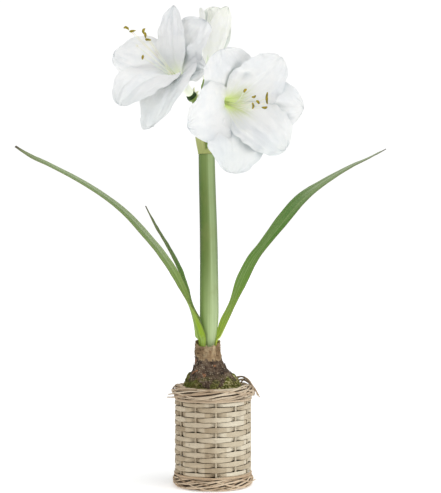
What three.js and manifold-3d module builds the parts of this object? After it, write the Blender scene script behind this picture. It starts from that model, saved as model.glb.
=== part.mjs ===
// A white amaryllis (Hippeastrum) growing from its bulb in a round basket of woven willow.
// Millimetres, +Z up. The origin is the centre of the basket's underside, on the basket's axis.
// The front of the plant, where the open blooms face, is towards -Y.
import * as THREE from "three";
import { mergeVertices } from "three/addons/utils/BufferGeometryUtils.js";
import Module from "manifold-3d";

const wasm = await Module();
wasm.setup();

// ---------------------------------------------------------------- driving dimensions

const GAP = 0.3; // between pieces that touch

const basket = {
  height: 140, // floor to the top of the rim border
  stakes: 11,
  stakeRadius: 2.0,
  stakeSides: 5,
  wallRadius: 49, // circle of the stakes' centres
  firstStake: -85, // degrees round +Z; -90 is the front
  floorRadius: 43.4,
  floorThickness: 3,
  footHeight: 17.2,
  rimHeight: 17,
  borderGroove: 0.78, // depth of the grooves between a border's rods, as a share of its half width
};

const weave = {
  turns: 16,
  pitch: 6.83, // between turns, away from the strand's ends
  endShare: 0.35, // the strand's size at its two ends
  taperTurns: 1.5, // it thins out over this many turns at each end
  swing: 4.2, // how far the strand passes outside or inside the stakes' circle
  thickness: 2.8,
  crossingHeight: 7.6, // where it passes a stake
  middleHeight: 6.3, // between stakes, where the rows lie one over the other
};

const liner = { radius: 42.6, wall: 1.2, top: 121.2 };
const linerTaper = 3; // the liner's foot is this much narrower than its top
const soil = { edgeTop: 120, crown: 121.2, crownEdge: 6 };
const moss = {
  bottom: 121.6,
  sides: 24,
  // radius, height over the bottom, and share of the flank's rise, from the outer foot to the bulb
  slope: [
    [42, 0, 0],
    [42.8, 6, 0.3],
    [39.8, 13, 0.5],
    [36, 19, 0.8],
    [31, 21, 1],
    [26, 0, 0],
  ],
  flankRise: 9, // how much higher it stands against the bulb's left and right flanks
};

const bulb = {
  footX: -1.2,
  neckX: -7.3, // the neck stands left of the basket's axis
  leanFrom: 138, // it leans over between these heights
  leanTo: 190,
  sides: 20,
  neckTop: 201,
  neckRadius: 16.4,
  neckHole: 14.5,
  neckFloor: 181,
  // radius at height, from the underside up to the neck
  profile: [
    [0, 76],
    [22, 80],
    [34, 96],
    [38, 117],
    [37.4, 132],
    [33.5, 150],
    [23.5, 163],
    [18.2, 176],
  ],
};

const scape = {
  // x, y, z, radius of the stem from its foot in the neck to the collar under the flowers
  stations: [
    [-5.4, 0, 181.4, 7.2],
    [-5.4, 0, 197, 8.6],
    [-5.4, 0, 228, 12.6],
    [-5.4, 0, 262, 13.1],
    [-6.1, 0, 340, 12.3],
    [-8.1, 0, 420, 11.6],
    [-9.0, 0, 462, 11.3],
  ],
  stubRadius: 9.0, // inside the spathe's collar
  stubTop: 469,
  stalksFrom: 466, // the flower stalks start inside the stub
  stalkRadius: 4.2,
  ovaryRadius: 6.6,
  ovaryLength: 15,
};

const petal = {
  thickness: 0.9,
  rows: 9,
  columns: 6,
  closedRows: 6, // the closed bloom is made of fewer faces
  closedColumns: 4,
  whorlOffset: 0.65, // the outer tepals stand this far outside the tube's middle line, the inner ones inside
  whorlSpread: 3.2, // and spread this much further apart where they open
  tubeWall: 2.6,
  tubeFloor: 3,
  tubeSides: 15,
  tubeShare: 0.55, // the tube is one piece up to this share of its length, and then six blades
};

// How every tepal is drawn, as shares of its own length unless a line says otherwise.
const tepalForm = {
  root: 0.3, // its foot, as a share of the tube's length
  opening: 0.64, // it has its first lean by here
  tipFrom: 0.54, // and turns towards its second lean from here
  footWidth: 0.16, // as a share of its full width
  widest: 0.6,
  roundedFrom: 0.55,
  narrowest: 1.2, // half the width of its tip, in mm
  swerveFrom: 0.35,
  ruffled: [0.3, 0.7], // where its edge's wave starts, and where it has its full height
  sideOffset: 0.27, // how far the waves of its two edges are apart, in turns
  ribHeight: 1.6, // in mm
  ribWidth: 0.1, // as a share of half its width
};

// Each bloom is built along its own axis: a narrow tube that opens into six tepals.
// base: where the tube stands on the ovary. axis: the way the bloom faces. tube: the tube's length.
// A tepal has: az, degrees round the axis; its whorl; length; width; leans, its slope away from the axis
// at the middle and at the tip in degrees; cup, how far its width is cupped in degrees; ruffle, its edge
// wave's height; waves and phase of that wave; round, how blunt its tip is (smaller is blunter); swerve, how
// far its tip bends round the axis.
const INNER = 1;
const OUTER = -1;
const tepal = (az, whorl, length, width, leans, edge) => {
  return { az, whorl, length, width, leans, swerve: 0, ...edge };
};
const calm = { ruffle: 2, waves: 2, phase: 0.1 };
const folded = { cup: 66, ruffle: 1, waves: 1.5 };
const blooms = {
  bloom_right: {
    base: [8.4, -28, 532.5],
    axis: [0.4, -0.905, -0.13],
    baseRadius: 4.5,
    tube: 34,
    baseLean: 8,
    tepals: [
      tepal(-5, OUTER, 134, 80, [50, 76], { cup: 12, ruffle: 2.5, waves: 2.0, phase: 0.1, round: 0.55 }),
      tepal(50, INNER, 128, 74, [52, 76], { cup: 16, ruffle: 3, waves: 2.3, phase: 0.4, round: 0.5 }),
      tepal(111, OUTER, 116, 84, [54, 88], { cup: 10, ruffle: 3, waves: 2.0, phase: 0.7, round: 0.42 }),
      tepal(200, INNER, 132, 84, [58, 88], { cup: 10, ruffle: 2.5, waves: 1.6, phase: 0.2, round: 0.6 }),
      tepal(256, OUTER, 143, 94, [54, 84], { cup: 12, ruffle: 3, waves: 2.2, phase: 0.5, round: 0.45 }),
      tepal(312, INNER, 134, 73, [50, 80], { cup: 14, ruffle: 3.5, waves: 2.6, phase: 0.9, round: 0.38 }),
    ],
  },
  bloom_left: {
    base: [-33, -2, 548],
    axis: [-0.4, -0.78, 0.49],
    baseRadius: 4.5,
    tube: 42,
    baseLean: 5,
    tepals: [
      tepal(73, INNER, 133, 46, [50, 80], { ...calm, cup: 14, round: 0.7, swerve: 3 }),
      tepal(159, OUTER, 132, 74, [50, 82], { ...calm, cup: 12, round: 0.42 }),
      tepal(236, INNER, 153, 84, [56, 88], { ...calm, cup: 12, round: 0.42, swerve: 2 }),
      tepal(291, OUTER, 148, 82, [66, 96], { ...calm, cup: 16, round: 0.4, swerve: -52 }),
      tepal(331, INNER, 97, 60, [60, 88], { ...calm, cup: 30, round: 0.5 }),
      tepal(44, OUTER, 124, 78, [56, 92], { ...calm, cup: 16, round: 0.42, swerve: -3 }),
    ],
  },
  bloom_top: {
    base: [-10, 18, 569],
    axis: [0.18, 0.1, 0.975],
    baseRadius: 4.0,
    tube: 26,
    baseLean: 5,
    tepals: [
      tepal(28, INNER, 102, 34, [12, -12], { ...folded, phase: 0.03, round: 0.6 }),
      tepal(106, OUTER, 113, 60, [9, 0], { ...folded, phase: 0.03, round: 0.45 }),
      tepal(150, INNER, 106, 40, [13, 7], { ...folded, phase: 0.23, round: 0.5 }),
      tepal(190, OUTER, 103, 42, [18, 9], { ...folded, phase: 0.23, round: 0.5 }),
      tepal(258, INNER, 80, 34, [11, 2], { ...folded, phase: 0.43, round: 0.6 }),
      tepal(316, OUTER, 107, 48, [14, -12], { ...folded, phase: 0.43, round: 0.45 }),
    ],
  },
};

const stamen = {
  filamentRadius: 0.9,
  rootRing: 1.2, // the filaments start this far from the bloom's axis
  throatRing: 2, // and pass the throat this far from it
  throatHeight: 20,
  sag: 5.2, // how far a filament droops where it curves up, at its elbow
  antherRadius: 1.5,
  antherEnd: 0.7,
  footRadius: 2.7,
  footHeight: 5,
};

// elbow: where the filaments curve up, as shares of their tips' places across, up and along the bloom's
// axis. each: a stamen's tip in the same frame, the way that its anther lies there in degrees round the
// axis, and the anther's length. The last, without an anther, is the style.
const stamens = {
  bloom_right: {
    elbow: [0.45, 0.35, 0.62],
    each: [
      [-3, 17, 92, 50, 6],
      [8, 9, 96, 20, 6],
      [13, 2, 98, -45, 6],
      [7, -3, 95, 90, 8],
      [22, 7, 106, 90, 16],
      [19, -5, 106, 5, 8],
      [14, 0, 112],
    ],
  },
  bloom_left: {
    elbow: [0.18, 0.18, 0.6],
    each: [
      [-48, 52, 104, -35, 7],
      [-41, 47, 100, -10, 6],
      [-24, 43, 98, 90, 6],
      [-21, 30, 95, 0, 8],
      [-31, 31, 96, 60, 6],
      [-27, 2, 92, 90, 6],
      [-32, 17, 100],
    ],
  },
};

// Strap leaves. Stations: x, y, z, width, roll, curl. roll turns the upper face towards +Y in degrees
// (0 is a leaf that arches straight out to its side), curl is how far the blade is channelled.
const leafThickness = 1.4;
const leaves = {
  leaf_left: [
    [-18.2, -6.1, 181.8, 19, 30, 96],
    [-17.9, -6.9, 201, 20.3, 34, 98],
    [-20.4, -9.6, 207.5, 23.6, 44, 100],
    [-22.8, -10.8, 218, 22, 37, 100],
    [-26.8, -11, 232, 20.5, 22, 90],
    [-31.4, -11.2, 246, 20.5, 8, 74],
    [-39.6, -11.6, 266, 20.5, -18, 56],
    [-53.4, -12.2, 294, 20, -32, 42],
    [-66.4, -13, 314.4, 19.5, -32, 38],
    [-84.6, -14, 338.6, 18.5, -32, 34],
    [-124, -17, 381.8, 16, -31, 28],
    [-169, -20, 415.2, 12.5, -31, 28],
    [-218, -22, 442.2, 10.2, -31, 26],
    [-250, -24, 457.5, 8.4, -36, 20],
    [-272.8, -25, 471.6, 4.8, -36, 10],
  ],
  leaf_left_small: [
    [-14.0, 9.6, 181.6, 13, -55, 62],
    [-15.0, 10.6, 203, 14, -52, 58],
    [-20.4, 12, 226, 12, -44, 50],
    [-30.0, 10.5, 249, 8.5, -30, 36],
    [-37.0, 12, 275, 7.6, -38, 30],
    [-47.6, 13, 303, 9, -40, 26],
    [-62.8, 14, 332, 7.2, -38, 20],
    [-81, 15, 362.8, 5.6, -34, 12],
    [-95.6, 16, 391, 3, -20, 4],
  ],
  leaf_right: [
    [4.6, 2.9, 181.6, 19, -14, 92],
    [5.2, 3.1, 200.5, 20, -14, 90],
    [10.6, 3.4, 209, 21, -18, 84],
    [18.0, 5, 228, 23.5, -26, 70],
    [29.2, 6, 254, 20, -28, 50],
    [41.4, 7, 286, 21, -50, 34],
    [55.4, 7.5, 314, 21, -46, 32],
    [70.6, 8, 334.4, 20.5, -40, 30],
    [97.6, 9, 369.6, 21.5, -52, 26],
    [122.6, 9, 398.6, 21.5, -48, 26],
    [150, 8, 420, 16.5, -38, 24],
    [189, 6, 443.4, 11.5, -26, 20],
    [220, 4, 458.4, 7.5, -20, 10],
    [242.6, 2, 470.2, 4.4, -16, 4],
  ],
};

// Spathe: two bracts on a collar round the top of the scape. Same stations as the leaves.
const spathe = {
  collarBottom: 462.7,
  collarTop: 470,
  collarOuter: 12.0,
  collarInner: 10.2,
  thickness: 1.2,
  bracts: [
    [
      [-18.3, -6.5, 464, 21, 35, 110],
      [-21.6, -9, 486, 24, 35, 90],
      [-23.6, -12, 510, 20, 35, 70],
      [-25, -14, 532, 3, 35, 20],
    ],
    [
      [0.3, 6.5, 464, 21, -35, 110],
      [5, 11, 488, 24, -35, 90],
      [9, 16, 512, 20, -35, 70],
      [12, 20, 534, 3, -35, 20],
    ],
  ],
};

// ---------------------------------------------------------------- small helpers

const rad = THREE.MathUtils.degToRad;
const vec = (a) => new THREE.Vector3(a[0], a[1], a[2]);

// 0 below a, 1 above b, and a smooth rise between.
const rise = (a, b, x) => {
  const t = THREE.MathUtils.clamp((x - a) / (b - a), 0, 1);
  return t * t * (3 - 2 * t);
};

// An indexed geometry from points and triangles, turned so that its faces point out.
function geometryFrom(points, triangles) {
  const flat = new Float32Array(points.length * 3);
  points.forEach((p, i) => p.toArray(flat, 3 * i));
  const normal = new THREE.Vector3();
  const volume = triangles.reduce((sum, [a, b, c]) => {
    normal.crossVectors(points[b], points[c]);
    return sum + points[a].dot(normal);
  }, 0);
  const index = triangles.flatMap(([a, b, c]) => (volume < 0 ? [a, c, b] : [a, b, c]));
  const geometry = new THREE.BufferGeometry();
  return geometry.setAttribute("position", new THREE.BufferAttribute(flat, 3)).setIndex(index);
}

// A closed solid through a list of rings with equally many points. Open runs get flat end caps.
function loft(rings, looped = false) {
  const sides = rings[0].length;
  const points = rings.flat();
  const triangles = [];
  const spans = looped ? rings.length : rings.length - 1;
  for (let i = 0; i < spans; i++) {
    for (let j = 0; j < sides; j++) {
      const a = i * sides + j;
      const b = i * sides + ((j + 1) % sides);
      const c = ((i + 1) % rings.length) * sides + j;
      const d = ((i + 1) % rings.length) * sides + ((j + 1) % sides);
      triangles.push([a, b, d], [a, d, c]);
    }
  }
  if (!looped) {
    const last = (rings.length - 1) * sides;
    for (let j = 1; j < sides - 1; j++) triangles.push([0, j + 1, j], [last, last + j, last + j + 1]);
  }
  return geometryFrom(points, triangles);
}

// A thin closed blade on both sides of a grid of points, with the same diagonals on both faces.
function blade(grid, thickness) {
  const rows = grid.length;
  const columns = grid[0].length;
  const { clamp } = THREE.MathUtils;
  const at = (i, j) => grid[clamp(i, 0, rows - 1)][clamp(j, 0, columns - 1)];
  const points = [];
  for (const side of [1, -1]) {
    for (let i = 0; i < rows; i++) {
      for (let j = 0; j < columns; j++) {
        const along = at(i + 1, j).clone().sub(at(i - 1, j));
        const across = at(i, j + 1).clone().sub(at(i, j - 1));
        const normal = along.cross(across).normalize();
        points.push(at(i, j).clone().addScaledVector(normal, (side * thickness) / 2));
      }
    }
  }
  const id = (face, i, j) => face * rows * columns + i * columns + j;
  const triangles = [];
  for (let i = 0; i < rows - 1; i++) {
    for (let j = 0; j < columns - 1; j++) {
      for (const face of [0, 1]) {
        const [a, b] = [id(face, i, j), id(face, i, j + 1)];
        const [c, d] = [id(face, i + 1, j), id(face, i + 1, j + 1)];
        triangles.push(face ? [a, d, c] : [a, c, d], face ? [a, b, d] : [a, d, b]);
      }
    }
  }
  const rim = [];
  for (let i = 0; i < rows - 1; i++) rim.push([i, 0]);
  for (let j = 0; j < columns - 1; j++) rim.push([rows - 1, j]);
  for (let i = rows - 1; i > 0; i--) rim.push([i, columns - 1]);
  for (let j = columns - 1; j > 0; j--) rim.push([0, j]);
  rim.forEach(([i, j], n) => {
    const [k, l] = rim[(n + 1) % rim.length];
    triangles.push([id(0, i, j), id(1, i, j), id(1, k, l)], [id(0, i, j), id(1, k, l), id(0, k, l)]);
  });
  return geometryFrom(points, triangles);
}

// A smooth curve through a list of number triples.
const smooth = (triples) => new THREE.CatmullRomCurve3(triples.map(vec), false, "catmullrom", 0.5);

// A round rod through stations of x, y, z, radius, on a smooth curve. start is a way that isn't along it.
function rod(stations, sides, steps, start = [0, 1, 0]) {
  const path = smooth(stations);
  const girth = smooth(stations.map((s) => [s[3], 0, 0]));
  const rings = [];
  let side = vec(start);
  for (let i = 0; i <= steps; i++) {
    const t = i / steps;
    const tangent = path.getTangent(t);
    side = side.clone().addScaledVector(tangent, -side.dot(tangent)).normalize();
    const other = new THREE.Vector3().crossVectors(tangent, side);
    const centre = path.getPoint(t);
    const radius = girth.getPoint(t).x;
    rings.push(
      Array.from({ length: sides }, (_, j) => {
        const angle = (2 * Math.PI * j) / sides;
        return centre
          .clone()
          .addScaledVector(side, radius * Math.cos(angle))
          .addScaledVector(other, radius * Math.sin(angle));
      }),
    );
  }
  return loft(rings);
}

// A turned solid: a profile of [radius, z] that starts and ends on the axis or closes on itself.
function turned(profile, segments) {
  const points = profile.map(([r, z]) => new THREE.Vector2(r, z));
  return new THREE.LatheGeometry(points, segments).rotateX(Math.PI / 2);
}

// A geometry as a solid that can be joined or cut.
function solid(geometry) {
  const bare = geometry.clone();
  bare.deleteAttribute("normal");
  bare.deleteAttribute("uv");
  const merged = mergeVertices(bare, 1e-3);
  const vertProperties = merged.attributes.position.array;
  const triVerts = new Uint32Array(merged.index.array);
  return new wasm.Manifold(new wasm.Mesh({ numProp: 3, vertProperties, triVerts }));
}

// Joined geometries as one body, with any hollow that the joining seals filled.
function joined(geometries) {
  const all = geometries.map(solid).reduce((sum, next) => sum.add(next));
  return all.decompose().reduce((largest, next) => (next.volume() > largest.volume() ? next : largest));
}

function geometryOf(manifold) {
  const mesh = manifold.getMesh();
  const positions = new Float32Array(mesh.numVert * 3);
  for (let i = 0; i < mesh.numVert; i++) {
    positions.set(mesh.vertProperties.subarray(i * mesh.numProp, i * mesh.numProp + 3), 3 * i);
  }
  return new THREE.BufferGeometry()
    .setAttribute("position", new THREE.BufferAttribute(positions, 3))
    .setIndex(new THREE.BufferAttribute(mesh.triVerts, 1));
}

// ---------------------------------------------------------------- materials

const paint = (color, roughness) => new THREE.MeshStandardMaterial({ color, roughness, metalness: 0 });
const colours = {
  willow: paint(0xc2ab8c, 0.75),
  willowRod: paint(0xb99a78, 0.7),
  liner: paint(0x2b2a28, 0.5),
  soil: paint(0x3a2a1e, 0.95),
  moss: paint(0x4f6420, 0.95),
  bulb: paint(0x6a5444, 0.85),
  stem: paint(0x6f8c45, 0.45),
  spathe: paint(0xb5b96a, 0.6),
  leaf: paint(0x4f7c33, 0.45),
  petal: paint(0xf6f7f3, 0.55),
  stamen: paint(0xc9b63a, 0.6),
};

const root = new THREE.Group();

function place(name, geometry, material, group = root) {
  const mesh = new THREE.Mesh(geometry, material);
  mesh.name = name;
  mesh.geometry.computeVertexNormals();
  group.add(mesh);
  return mesh;
}

// ---------------------------------------------------------------- basket

const rimBottom = basket.height - basket.rimHeight;
const stakeAngle = (n) => rad(basket.firstStake + (360 * n) / basket.stakes);

function makeFloor() {
  const { floorRadius: r, floorThickness: t } = basket;
  return turned([[0, 0], [r, 0], [r, t], [0, t]], 32);
}

// One strand, wound as a rising spiral that thins out at both ends. The odd number of stakes makes each row
// pass them the other way from the row below. The strand climbs by its own size.
function makeWeaver() {
  const half = weave.thickness / 2;
  const steps = weave.turns * basket.stakes * 2;
  const stepsPerTurn = 2 * basket.stakes;
  const share = (k) => {
    const turnsFromEnd = Math.min(k, steps - k) / stepsPerTurn;
    return THREE.MathUtils.lerp(weave.endShare, 1, Math.min(turnsFromEnd / weave.taperTurns, 1));
  };
  let z = basket.footHeight + GAP + (weave.crossingHeight * weave.endShare) / 2;
  const rings = [];
  for (let k = 0; k <= steps; k++) {
    const atStake = k % 2 === 0;
    const angle = stakeAngle(k / 2);
    const radius = basket.wallRadius + (atStake ? weave.swing * (k % 4 === 0 ? 1 : -1) : 0);
    const h = ((atStake ? weave.crossingHeight : weave.middleHeight) * share(k)) / 2;
    const corner = (r, up) => new THREE.Vector3(r * Math.cos(angle), r * Math.sin(angle), z + up);
    const [outer, inner] = [radius + half, radius - half];
    rings.push([corner(outer, -h), corner(outer, h), corner(inner, h), corner(inner, -h)]);
    z += (weave.pitch * share(k + 0.5)) / stepsPerTurn;
  }
  return loft(rings);
}

function makeStake(n) {
  const bottom = basket.footHeight + GAP;
  const top = rimBottom - GAP;
  const { stakeRadius: r, wallRadius } = basket;
  const angle = stakeAngle(n);
  return new THREE.CylinderGeometry(r, r, top - bottom, basket.stakeSides)
    .rotateX(Math.PI / 2)
    .translate(wallRadius * Math.cos(angle), wallRadius * Math.sin(angle), (top + bottom) / 2);
}

// A border of rods twisted round each other: a ring whose section is lobed, one lobe for each rod, and
// turns as it goes round.
function makeBorder({ radius, halfWide, bottom, top, rods, turns, steps }) {
  const middle = (bottom + top) / 2;
  const halfHigh = (top - bottom) / 2;
  const rings = [];
  for (let i = 0; i < steps; i++) {
    const round = (2 * Math.PI * i) / steps;
    const twist = (turns * 2 * Math.PI * i) / steps;
    rings.push(
      Array.from({ length: rods * 2 }, (_, j) => {
        const a = (Math.PI * j) / rods + twist;
        const reach = j % 2 ? basket.borderGroove : 1;
        const r = radius + halfWide * reach * Math.cos(a);
        const z = middle + halfHigh * reach * Math.sin(a);
        return new THREE.Vector3(r * Math.cos(round), r * Math.sin(round), z);
      }),
    );
  }
  return loft(rings, true);
}

// ---------------------------------------------------------------- liner, soil, moss, bulb

const linerBottom = basket.floorThickness + GAP;
const bulbX = (z) => bulb.footX + (bulb.neckX - bulb.footX) * rise(bulb.leanFrom, bulb.leanTo, z);

function makeLiner() {
  const { radius: r, wall: w, top } = liner;
  const z = linerBottom;
  const foot = r - linerTaper;
  return turned([[0, z], [foot, z], [r, top], [r - w, top], [foot - w, z + w], [0, z + w]], 28);
}

// The bulb's surface, leaned towards its neck. grow widens it, for the hollow that it sits in.
function bulbOutline(grow, segments, top) {
  const belly = 110; // below this the hollow is deeper as well as wider
  const outline = bulb.profile.map(([r, z]) => [r ? r + grow : 0, z < belly ? z - grow : z]);
  const geometry = turned([...outline, ...top], segments);
  const p = geometry.attributes.position;
  for (let i = 0; i < p.count; i++) p.setX(i, p.getX(i) + bulbX(p.getZ(i)));
  return geometry;
}

function makeBulb() {
  const { neckRadius: n, neckHole: h, neckTop: top, neckFloor: floor, sides } = bulb;
  const lip = 0.6; // the rim slopes in by this much
  const neck = [[n + lip, top - 13], [n, top], [h, top - lip], [h - lip / 2, floor], [0, floor]];
  return bulbOutline(0, sides, neck);
}

// The hollow that the bulb leaves in the soil or the moss round it.
function bulbHollow(gap) {
  const { neckRadius: r, neckTop: top, sides } = bulb;
  return solid(bulbOutline(gap, sides, [[r, top - 1], [0, top - 1]]));
}

function makeSoil() {
  const r = liner.radius - liner.wall - GAP - 0.4; // 0.4 for the flats of the liner's wall
  const z = linerBottom + liner.wall + GAP;
  const { edgeTop, crown, crownEdge } = soil;
  const edge = r - linerTaper;
  const body = turned([[0, z], [edge - 0.2, z], [r - 0.2, edgeTop], [r - crownEdge, crown], [0, crown]], 24);
  return geometryOf(solid(body).subtract(bulbHollow(GAP)));
}

// A mound of moss on the soil, lumpy on top and higher against the bulb's left and right flanks.
function makeMoss() {
  const rings = [];
  for (let i = 0; i < moss.sides; i++) {
    const a = (2 * Math.PI * i) / moss.sides;
    const lumps = 3 * Math.sin(5 * a) + 2 * Math.cos(9 * a + 1);
    const flank = moss.flankRise * Math.cos(a) ** 2 + lumps;
    rings.push(
      moss.slope.map(([r, up, share]) => {
        return new THREE.Vector3(r * Math.cos(a), r * Math.sin(a), moss.bottom + up + share * flank);
      }),
    );
  }
  return geometryOf(solid(loft(rings, true)).subtract(bulbHollow(GAP + 0.1)));
}

// ---------------------------------------------------------------- blooms

// The bloom's own axes in the part's frame: across, up and along.
function bloomBasis(axis) {
  const along = vec(axis).normalize();
  const across = new THREE.Vector3(1, 0, 0).addScaledVector(along, -along.x).normalize();
  const up = new THREE.Vector3().crossVectors(along, across);
  return new THREE.Matrix4().makeBasis(across, up, along);
}

// The middle surface of one tepal as a grid of points in the bloom's own frame, along +Z.
function tepalGrid(bloom, shape, rows, columns) {
  const { lerp, clamp } = THREE.MathUtils;
  const { length, width, leans, whorl } = shape;
  const form = tepalForm;
  const tubeEnd = bloom.tube / length;
  const az = rad(shape.az);
  const outward = new THREE.Vector3(Math.cos(az), Math.sin(az), 0);
  const sideways = new THREE.Vector3(-Math.sin(az), Math.cos(az), 0);
  const along = new THREE.Vector3(0, 0, 1);
  const lean = (s) => {
    const opened = (leans[0] - bloom.baseLean) * rise(tubeEnd * petal.tubeShare, form.opening, s);
    return rad(bloom.baseLean + opened + (leans[1] - leans[0]) * rise(form.tipFrom, 1, s));
  };
  const fine = 120; // short steps that the middle line is summed up from
  const spine = [outward.clone().multiplyScalar(bloom.baseRadius - whorl * petal.whorlOffset)];
  for (let i = 0; i < fine; i++) {
    const b = lean((i + 0.5) / fine);
    const next = spine[i].clone().addScaledVector(along, (length / fine) * Math.cos(b));
    spine.push(next.addScaledVector(outward, (length / fine) * Math.sin(b)));
  }
  const grid = [];
  for (let i = 0; i <= rows; i++) {
    const first = form.root * tubeEnd;
    const s = first + (1 - first) * (1 - (1 - i / rows) ** 1.5); // rows lie closer towards the tip
    const b = lean(s);
    const low = Math.min(Math.floor(s * fine), fine - 1);
    const middle = spine[low].clone().lerp(spine[low + 1], s * fine - low);
    const inner = along.clone().multiplyScalar(Math.sin(b)).addScaledVector(outward, -Math.cos(b));
    middle.addScaledVector(inner, whorl * petal.whorlSpread * rise(0.6 * tubeEnd, 0.5, s));
    // the blade lies round the tube at its foot, and then opens to its own width and cup
    const reach = Math.max(Math.hypot(middle.x, middle.y), 1);
    const room = reach * lerp(0.56, 4, rise(petal.tubeShare * tubeEnd, 1.3 * tubeEnd, s));
    const wide = lerp(form.footWidth, 1, rise(tubeEnd * 0.5, form.widest, s));
    const tip = clamp((s - form.roundedFrom) / (1 - form.roundedFrom), 0, 1);
    const full = Math.min((width / 2) * wide, room);
    const half = Math.max(full * (1 - tip ** 2) ** shape.round, form.narrowest);
    const open = rise(tubeEnd * 0.7, 0.55, s);
    const bend = ((1 - open) * Math.cos(b)) / reach + (open * rad(shape.cup)) / (width / 2);
    const swerve = clamp((s - form.swerveFrom) / (1 - form.swerveFrom), 0, 1) ** 2;
    middle.addScaledVector(sideways, shape.swerve * swerve);
    const ribbed = form.ribHeight * rise(0.2, 0.5, s) * (1 - rise(0.8, 1, s));
    const row = [];
    for (let j = 0; j <= columns; j++) {
      const v = (2 * j) / columns - 1;
      const turn = bend * v * half;
      const wave = Math.sin(2 * Math.PI * (shape.waves * s + shape.phase + form.sideOffset * Math.sign(v)));
      const ruffle = shape.ruffle * rise(...form.ruffled, s) * Math.abs(v) ** 2.2 * wave;
      const rib = ribbed * Math.exp(-((v / form.ribWidth) ** 2));
      const lift = (1 - Math.cos(turn)) / bend + ruffle - rib;
      const point = middle.clone().addScaledVector(sideways, Math.sin(turn) / bend);
      row.push(point.addScaledVector(inner, lift));
    }
    grid.push(row);
  }
  return grid;
}

// The tube that the six tepals grow from, open at its mouth.
function makeTube(bloom) {
  const end = bloom.tube * petal.tubeShare;
  const floor = petal.tubeFloor;
  const r0 = bloom.baseRadius;
  const r1 = r0 + end * Math.tan(rad(bloom.baseLean));
  const wall = petal.tubeWall / 2;
  const outside = [[0, 0], [r0 + wall, 0], [r1 + wall, end]];
  const inside = [[r1 - wall, end], [r0 - wall, floor], [0, floor]];
  return turned([...outside, ...inside], petal.tubeSides);
}

function makeBloom(bloom, rows, columns) {
  const grids = bloom.tepals.map((tepal) => tepalGrid(bloom, tepal, rows, columns));
  const blades = grids.map((grid) => blade(grid, petal.thickness));
  return geometryOf(joined([makeTube(bloom), ...blades]));
}

// A filament from the foot inside the tube to its tip, which starts at an angle a round the foot.
function makeFilament([x, y, z], elbow, a, floor) {
  const { rootRing, throatRing, throatHeight, sag, filamentRadius } = stamen;
  const ring = (r, height) => [r * Math.cos(a), r * Math.sin(a), height];
  const [throatX, throatY] = ring(throatRing, 0);
  const stations = [
    ring(rootRing, floor + 2),
    ring(throatRing, throatHeight),
    [elbow[0] * x + throatX, elbow[1] * y + throatY - sag, elbow[2] * z],
    [x, y, z],
  ];
  return rod(stations.map((p) => [...p, filamentRadius]), 3, 5);
}

// Six filaments with their anthers and one style, rising from one foot inside the tube.
function makeStamens({ elbow, each }) {
  const floor = petal.tubeFloor + GAP;
  const { footRadius: r, footHeight: h, antherRadius, antherEnd } = stamen;
  const pieces = [turned([[0, floor], [r, floor], [r - 0.6, floor + h], [0, floor + h]], 10)];
  each.forEach(([x, y, z, lie, length], n) => {
    pieces.push(makeFilament([x, y, z], elbow, (2 * Math.PI * n) / each.length, floor));
    if (!length) return;
    const [dx, dy] = [(length / 2) * Math.cos(rad(lie)), (length / 2) * Math.sin(rad(lie))];
    const [from, to] = [[x - dx, y - dy, z, antherEnd], [x + dx, y + dy, z, antherEnd]];
    pieces.push(rod([from, [x, y, z, antherRadius], to], 4, 2, [0, 0, 1]));
  });
  return geometryOf(joined(pieces));
}

// ---------------------------------------------------------------- scape, spathe, leaves

// A stalk from the top of the scape to a bloom, swelling into the ovary that the bloom stands on. bow is how
// far its middle stands off a straight line.
function stalkStations(bloom, start, bow) {
  const axis = vec(bloom.axis).normalize();
  const from = (d) => vec(bloom.base).addScaledVector(axis, -d);
  const station = (p, r) => [p.x, p.y, p.z, r];
  const { ovaryLength: l, ovaryRadius: r, stalkRadius: t } = scape;
  const middle = vec(start).lerp(from(l), 0.5).add(vec(bow));
  return [
    [...start, t],
    station(middle, t),
    station(from(l), t),
    station(from(l * 0.55), r), // the ovary's widest place
    station(from(l * 0.2), r * 0.92),
    station(from(GAP), bloom.baseRadius + 0.4),
  ];
}

function makeScape() {
  const stem = rod(scape.stations, 12, 12);
  const [x, y, z] = scape.stations.at(-1);
  const stub = rod([[x, y, z - 4, scape.stubRadius], [x, y, scape.stubTop, scape.stubRadius]], 14, 1);
  const top = scape.stalksFrom;
  const stalks = [
    stalkStations(blooms.bloom_right, [x + 3.5, y - 3, top], [0, 5, 4]),
    stalkStations(blooms.bloom_left, [x - 4, y - 1, top], [5, 2, 0]),
    stalkStations(blooms.bloom_top, [x + 0.5, y + 4, top], [2, 5, 0]),
  ].map((stations) => rod(stations, 7, 11));
  return geometryOf(joined([stem, stub, ...stalks]));
}

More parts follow.
